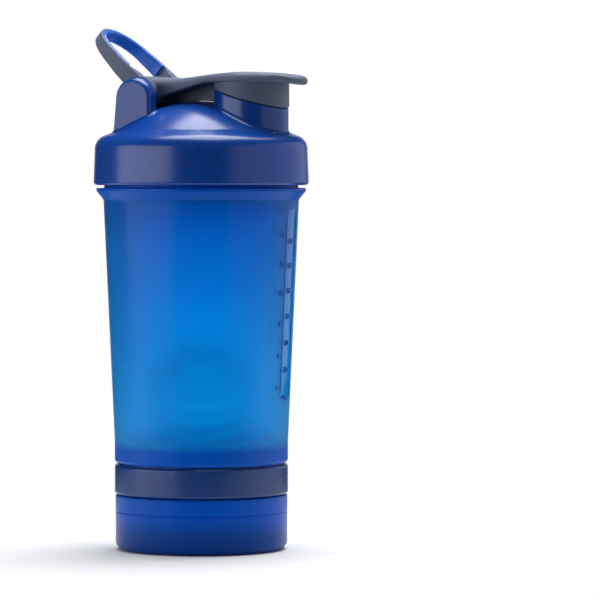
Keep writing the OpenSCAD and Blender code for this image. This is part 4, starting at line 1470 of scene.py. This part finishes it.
class SHAKER_OT_stage(bpy.types.Operator):
    """Paper floor, softboxes, white surroundings and camera"""

    bl_idname = "shaker.stage"
    bl_label = "Stage"

    def execute(self, context):
        camera_turn = math.radians(25.5)
        self.to_camera = Vector((math.sin(camera_turn), -math.cos(camera_turn), 0))
        self.right = Vector((math.cos(camera_turn), math.sin(camera_turn), 0))
        self.floor()
        self.softbox("softbox_left", azimuth=-64, distance=0.95, height=0.23,
                     wide=1.23, tall=0.46, radiance=2.4)
        self.softbox("softbox_right", azimuth=91, distance=0.55, height=0.23,
                     wide=1.83, tall=0.46, radiance=0.6)
        self.softbox("softbox_top", azimuth=147, distance=0.18, height=1.007,
                     wide=0.72, tall=0.9, radiance=7.2)
        self.surroundings(context)
        self.camera(context)
        return {"FINISHED"}

    def floor(self):
        """Pale paper that keeps the shadow near the bottle and runs out to plain white."""
        shadow_kept, shadow_gone = 0.06, 0.23
        corners = [(0.8, 0.2), (0.8, 0), (0.2, -0.22), (-0.2, -0.22), (-0.8, 0), (-0.8, 0.2)]
        clear_selection()
        bpy.ops.mesh.primitive_circle_add(vertices=len(corners), radius=0.5, fill_type="NGON")
        floor = edit_new("paper_floor")
        mesh = bmesh.from_edit_mesh(floor.data)
        for vertex, (across_view, along_view) in zip(mesh.verts, corners):
            vertex.co = self.right * across_view + self.to_camera * along_view
        mesh.normal_update()
        bmesh.update_edit_mesh(floor.data)
        close_up()
        material, tree, here = new_surface("paper_matt_white")
        fibre = add_node(tree, "TexNoise", {"Vector": here, "Scale": grain_per_metre(1.5), "Detail": 4.0})
        bump = add_node(tree, "Bump", {"Height": fibre.outputs["Fac"], "Strength": 0.1, "Distance": mm(0.05)})
        paper = add_node(tree, "BsdfPrincipled", {
            "Base Color": (*colour_of("paper"), 1), "Roughness": 0.9, "Specular IOR Level": 0.1,
            "Normal": bump.outputs["Normal"],
        })
        white = add_node(tree, "Emission", {"Color": (1, 1, 1, 1), "Strength": 1.0})
        distance = add_node(tree, "VectorMath", {0: here}, operation="LENGTH")
        run_out = add_node(tree, "MapRange", {
            "Value": distance.outputs["Value"], "From Min": shadow_kept, "From Max": shadow_gone,
        }, interpolation_type="SMOOTHSTEP")
        rays = add_node(tree, "LightPath").outputs
        seen = add_node(tree, "Math", {
            0: self.looked_through(tree, rays), 1: rays["Is Glossy Ray"],
        }, operation="MAXIMUM")
        share = add_node(tree, "Math", {
            0: run_out.outputs["Result"], 1: seen.outputs["Value"],
        }, operation="MULTIPLY")
        mixed = add_node(tree, "MixShader", {
            0: share.outputs["Value"], 1: paper.outputs["BSDF"], 2: white.outputs["Emission"],
        })
        add_node(tree, "OutputMaterial", {"Surface": mixed.outputs["Shader"]})
        floor.data.materials.append(material)
        clear_selection()

    def looked_through(self, tree, rays):
        """1 for rays from the camera and through clear plastic, and 0 for others."""
        either = {0: rays["Is Camera Ray"], 1: rays["Is Transmission Ray"]}
        return add_node(tree, "Math", either, operation="MAXIMUM").outputs["Value"]

    def softbox(self, name, azimuth, distance, height, wide, tall, radiance):
        """Soft lamp at an angle from the camera's side, aimed at the bottle and seen only in its shine."""
        highest_aim = mm(185)
        clear_selection()
        turn = math.radians(azimuth)
        place = (self.to_camera * math.cos(turn) + self.right * math.sin(turn)) * distance
        place.z = height
        aim = (Vector((0, 0, min(height, highest_aim))) - place).to_track_quat("-Z", "Y").to_euler()
        bpy.ops.object.light_add(type="AREA", location=place, rotation=aim)
        lamp = bpy.context.object
        lamp.name = lamp.data.name = name
        lamp.data.shape = "RECTANGLE"
        lamp.data.size = wide
        lamp.data.size_y = tall
        lamp.data.energy = radiance * math.pi * wide * tall
        lamp.visible_camera = False
        lamp.visible_transmission = False

    def surroundings(self, context):
        """White behind the bottle and darker in the room on the camera's side, with soft fill light."""
        world = bpy.data.worlds.new("studio")
        context.scene.world = world
        world.use_nodes = True
        tree = world.node_tree
        tree.nodes.clear()
        ray = add_node(tree, "TexCoord").outputs["Generated"]
        away = {0: ray, 1: tuple(-self.to_camera)}
        facing = add_node(tree, "VectorMath", away, operation="DOT_PRODUCT").outputs["Value"]
        backdrop = add_node(tree, "MapRange", {
            "Value": facing, "From Min": 0.93, "From Max": 0.995, "To Min": 0.02, "To Max": 1.0,
        }, interpolation_type="SMOOTHSTEP").outputs["Result"]
        glow = add_node(tree, "MapRange", {
            "Value": facing, "From Min": -0.1, "From Max": 0.9, "To Min": 0.06, "To Max": 0.6,
        }, interpolation_type="SMOOTHSTEP").outputs["Result"]
        rays = add_node(tree, "LightPath").outputs
        seen = self.looked_through(tree, rays)
        fill = add_node(tree, "Mix", {0: rays["Is Glossy Ray"], 2: glow, 3: backdrop}, data_type="FLOAT")
        strength = add_node(tree, "Mix", {0: seen, 2: fill.outputs[0], 3: 1.0}, data_type="FLOAT")
        light = add_node(tree, "Background", {"Color": (1, 1, 1, 1), "Strength": strength.outputs[0]})
        add_node(tree, "OutputWorld", {"Surface": light.outputs["Background"]})
        context.scene.view_settings.view_transform = "Standard"

    def camera(self, context):
        """Long lens a little above the bottle's middle, turned to show hinge and spout from the side."""
        beside, height = mm(41.25), mm(108)
        distance, above = mm(1670), mm(52)
        clear_selection()
        target = self.right * beside + Vector((0, 0, height))
        place = target + self.to_camera * distance + Vector((0, 0, above))
        aim = (target - place).to_track_quat("-Z", "Y").to_euler()
        bpy.ops.object.camera_add(location=place, rotation=aim)
        camera = bpy.context.object
        camera.name = camera.data.name = "studio_camera"
        camera.data.lens = 235.6
        camera.data.sensor_width = 36
        camera.data.clip_start = 0.01
        context.scene.camera = camera
        clear_selection()


STEPS = (
    SHAKER_OT_stage, SHAKER_OT_jar, SHAKER_OT_tray, SHAKER_OT_seals, SHAKER_OT_ring, SHAKER_OT_cup,
    SHAKER_OT_marks, SHAKER_OT_whisk, SHAKER_OT_lid, SHAKER_OT_hinge_pin, SHAKER_OT_flip_cap,
    SHAKER_OT_spout_plug, SHAKER_OT_carry_loop, SHAKER_OT_loop_liner,
)
GROUPS = {
    "shaker_base": ShakerBase, "shaker_cup": ShakerCup,
    "shaker_top": ShakerTop, "shaker_finish": ShakerFinish,
}


class SHAKER_PT_panel(bpy.types.Panel):
    """Sizes, colours and the steps that build the bottle"""

    bl_idname = "SHAKER_PT_panel"
    bl_label = "Shaker bottle"
    bl_space_type = "VIEW_3D"
    bl_region_type = "UI"
    bl_category = "Shaker"

    def draw(self, context):
        for step in STEPS:
            self.layout.operator(step.bl_idname)
        for name in GROUPS:
            group = getattr(context.scene, name)
            box = self.layout.box()
            for key in group.__annotations__:
                box.prop(group, key)


def register():
    """Makes the groups, the operators and the panel known to Blender."""
    for name, group in GROUPS.items():
        bpy.utils.register_class(group)
        setattr(bpy.types.Scene, name, bpy.props.PointerProperty(type=group))
    for item in (*STEPS, SHAKER_PT_panel):
        bpy.utils.register_class(item)


def unregister():
    """Takes them away again."""
    for item in reversed((*STEPS, SHAKER_PT_panel)):
        bpy.utils.unregister_class(item)
    for name, group in reversed(GROUPS.items()):
        delattr(bpy.types.Scene, name)
        bpy.utils.unregister_class(group)


def main():
    """Builds every piece and the stage."""
    register()
    bpy.ops.shaker.stage()
    bpy.ops.shaker.jar()
    bpy.ops.shaker.tray()
    bpy.ops.shaker.seals()
    bpy.ops.shaker.ring()
    bpy.ops.shaker.cup()
    bpy.ops.shaker.marks()
    bpy.ops.shaker.whisk()
    bpy.ops.shaker.lid()
    bpy.ops.shaker.hinge_pin()
    bpy.ops.shaker.flip_cap()
    bpy.ops.shaker.spout_plug()
    bpy.ops.shaker.carry_loop()
    bpy.ops.shaker.loop_liner()


if __name__ == "__main__":
    main()
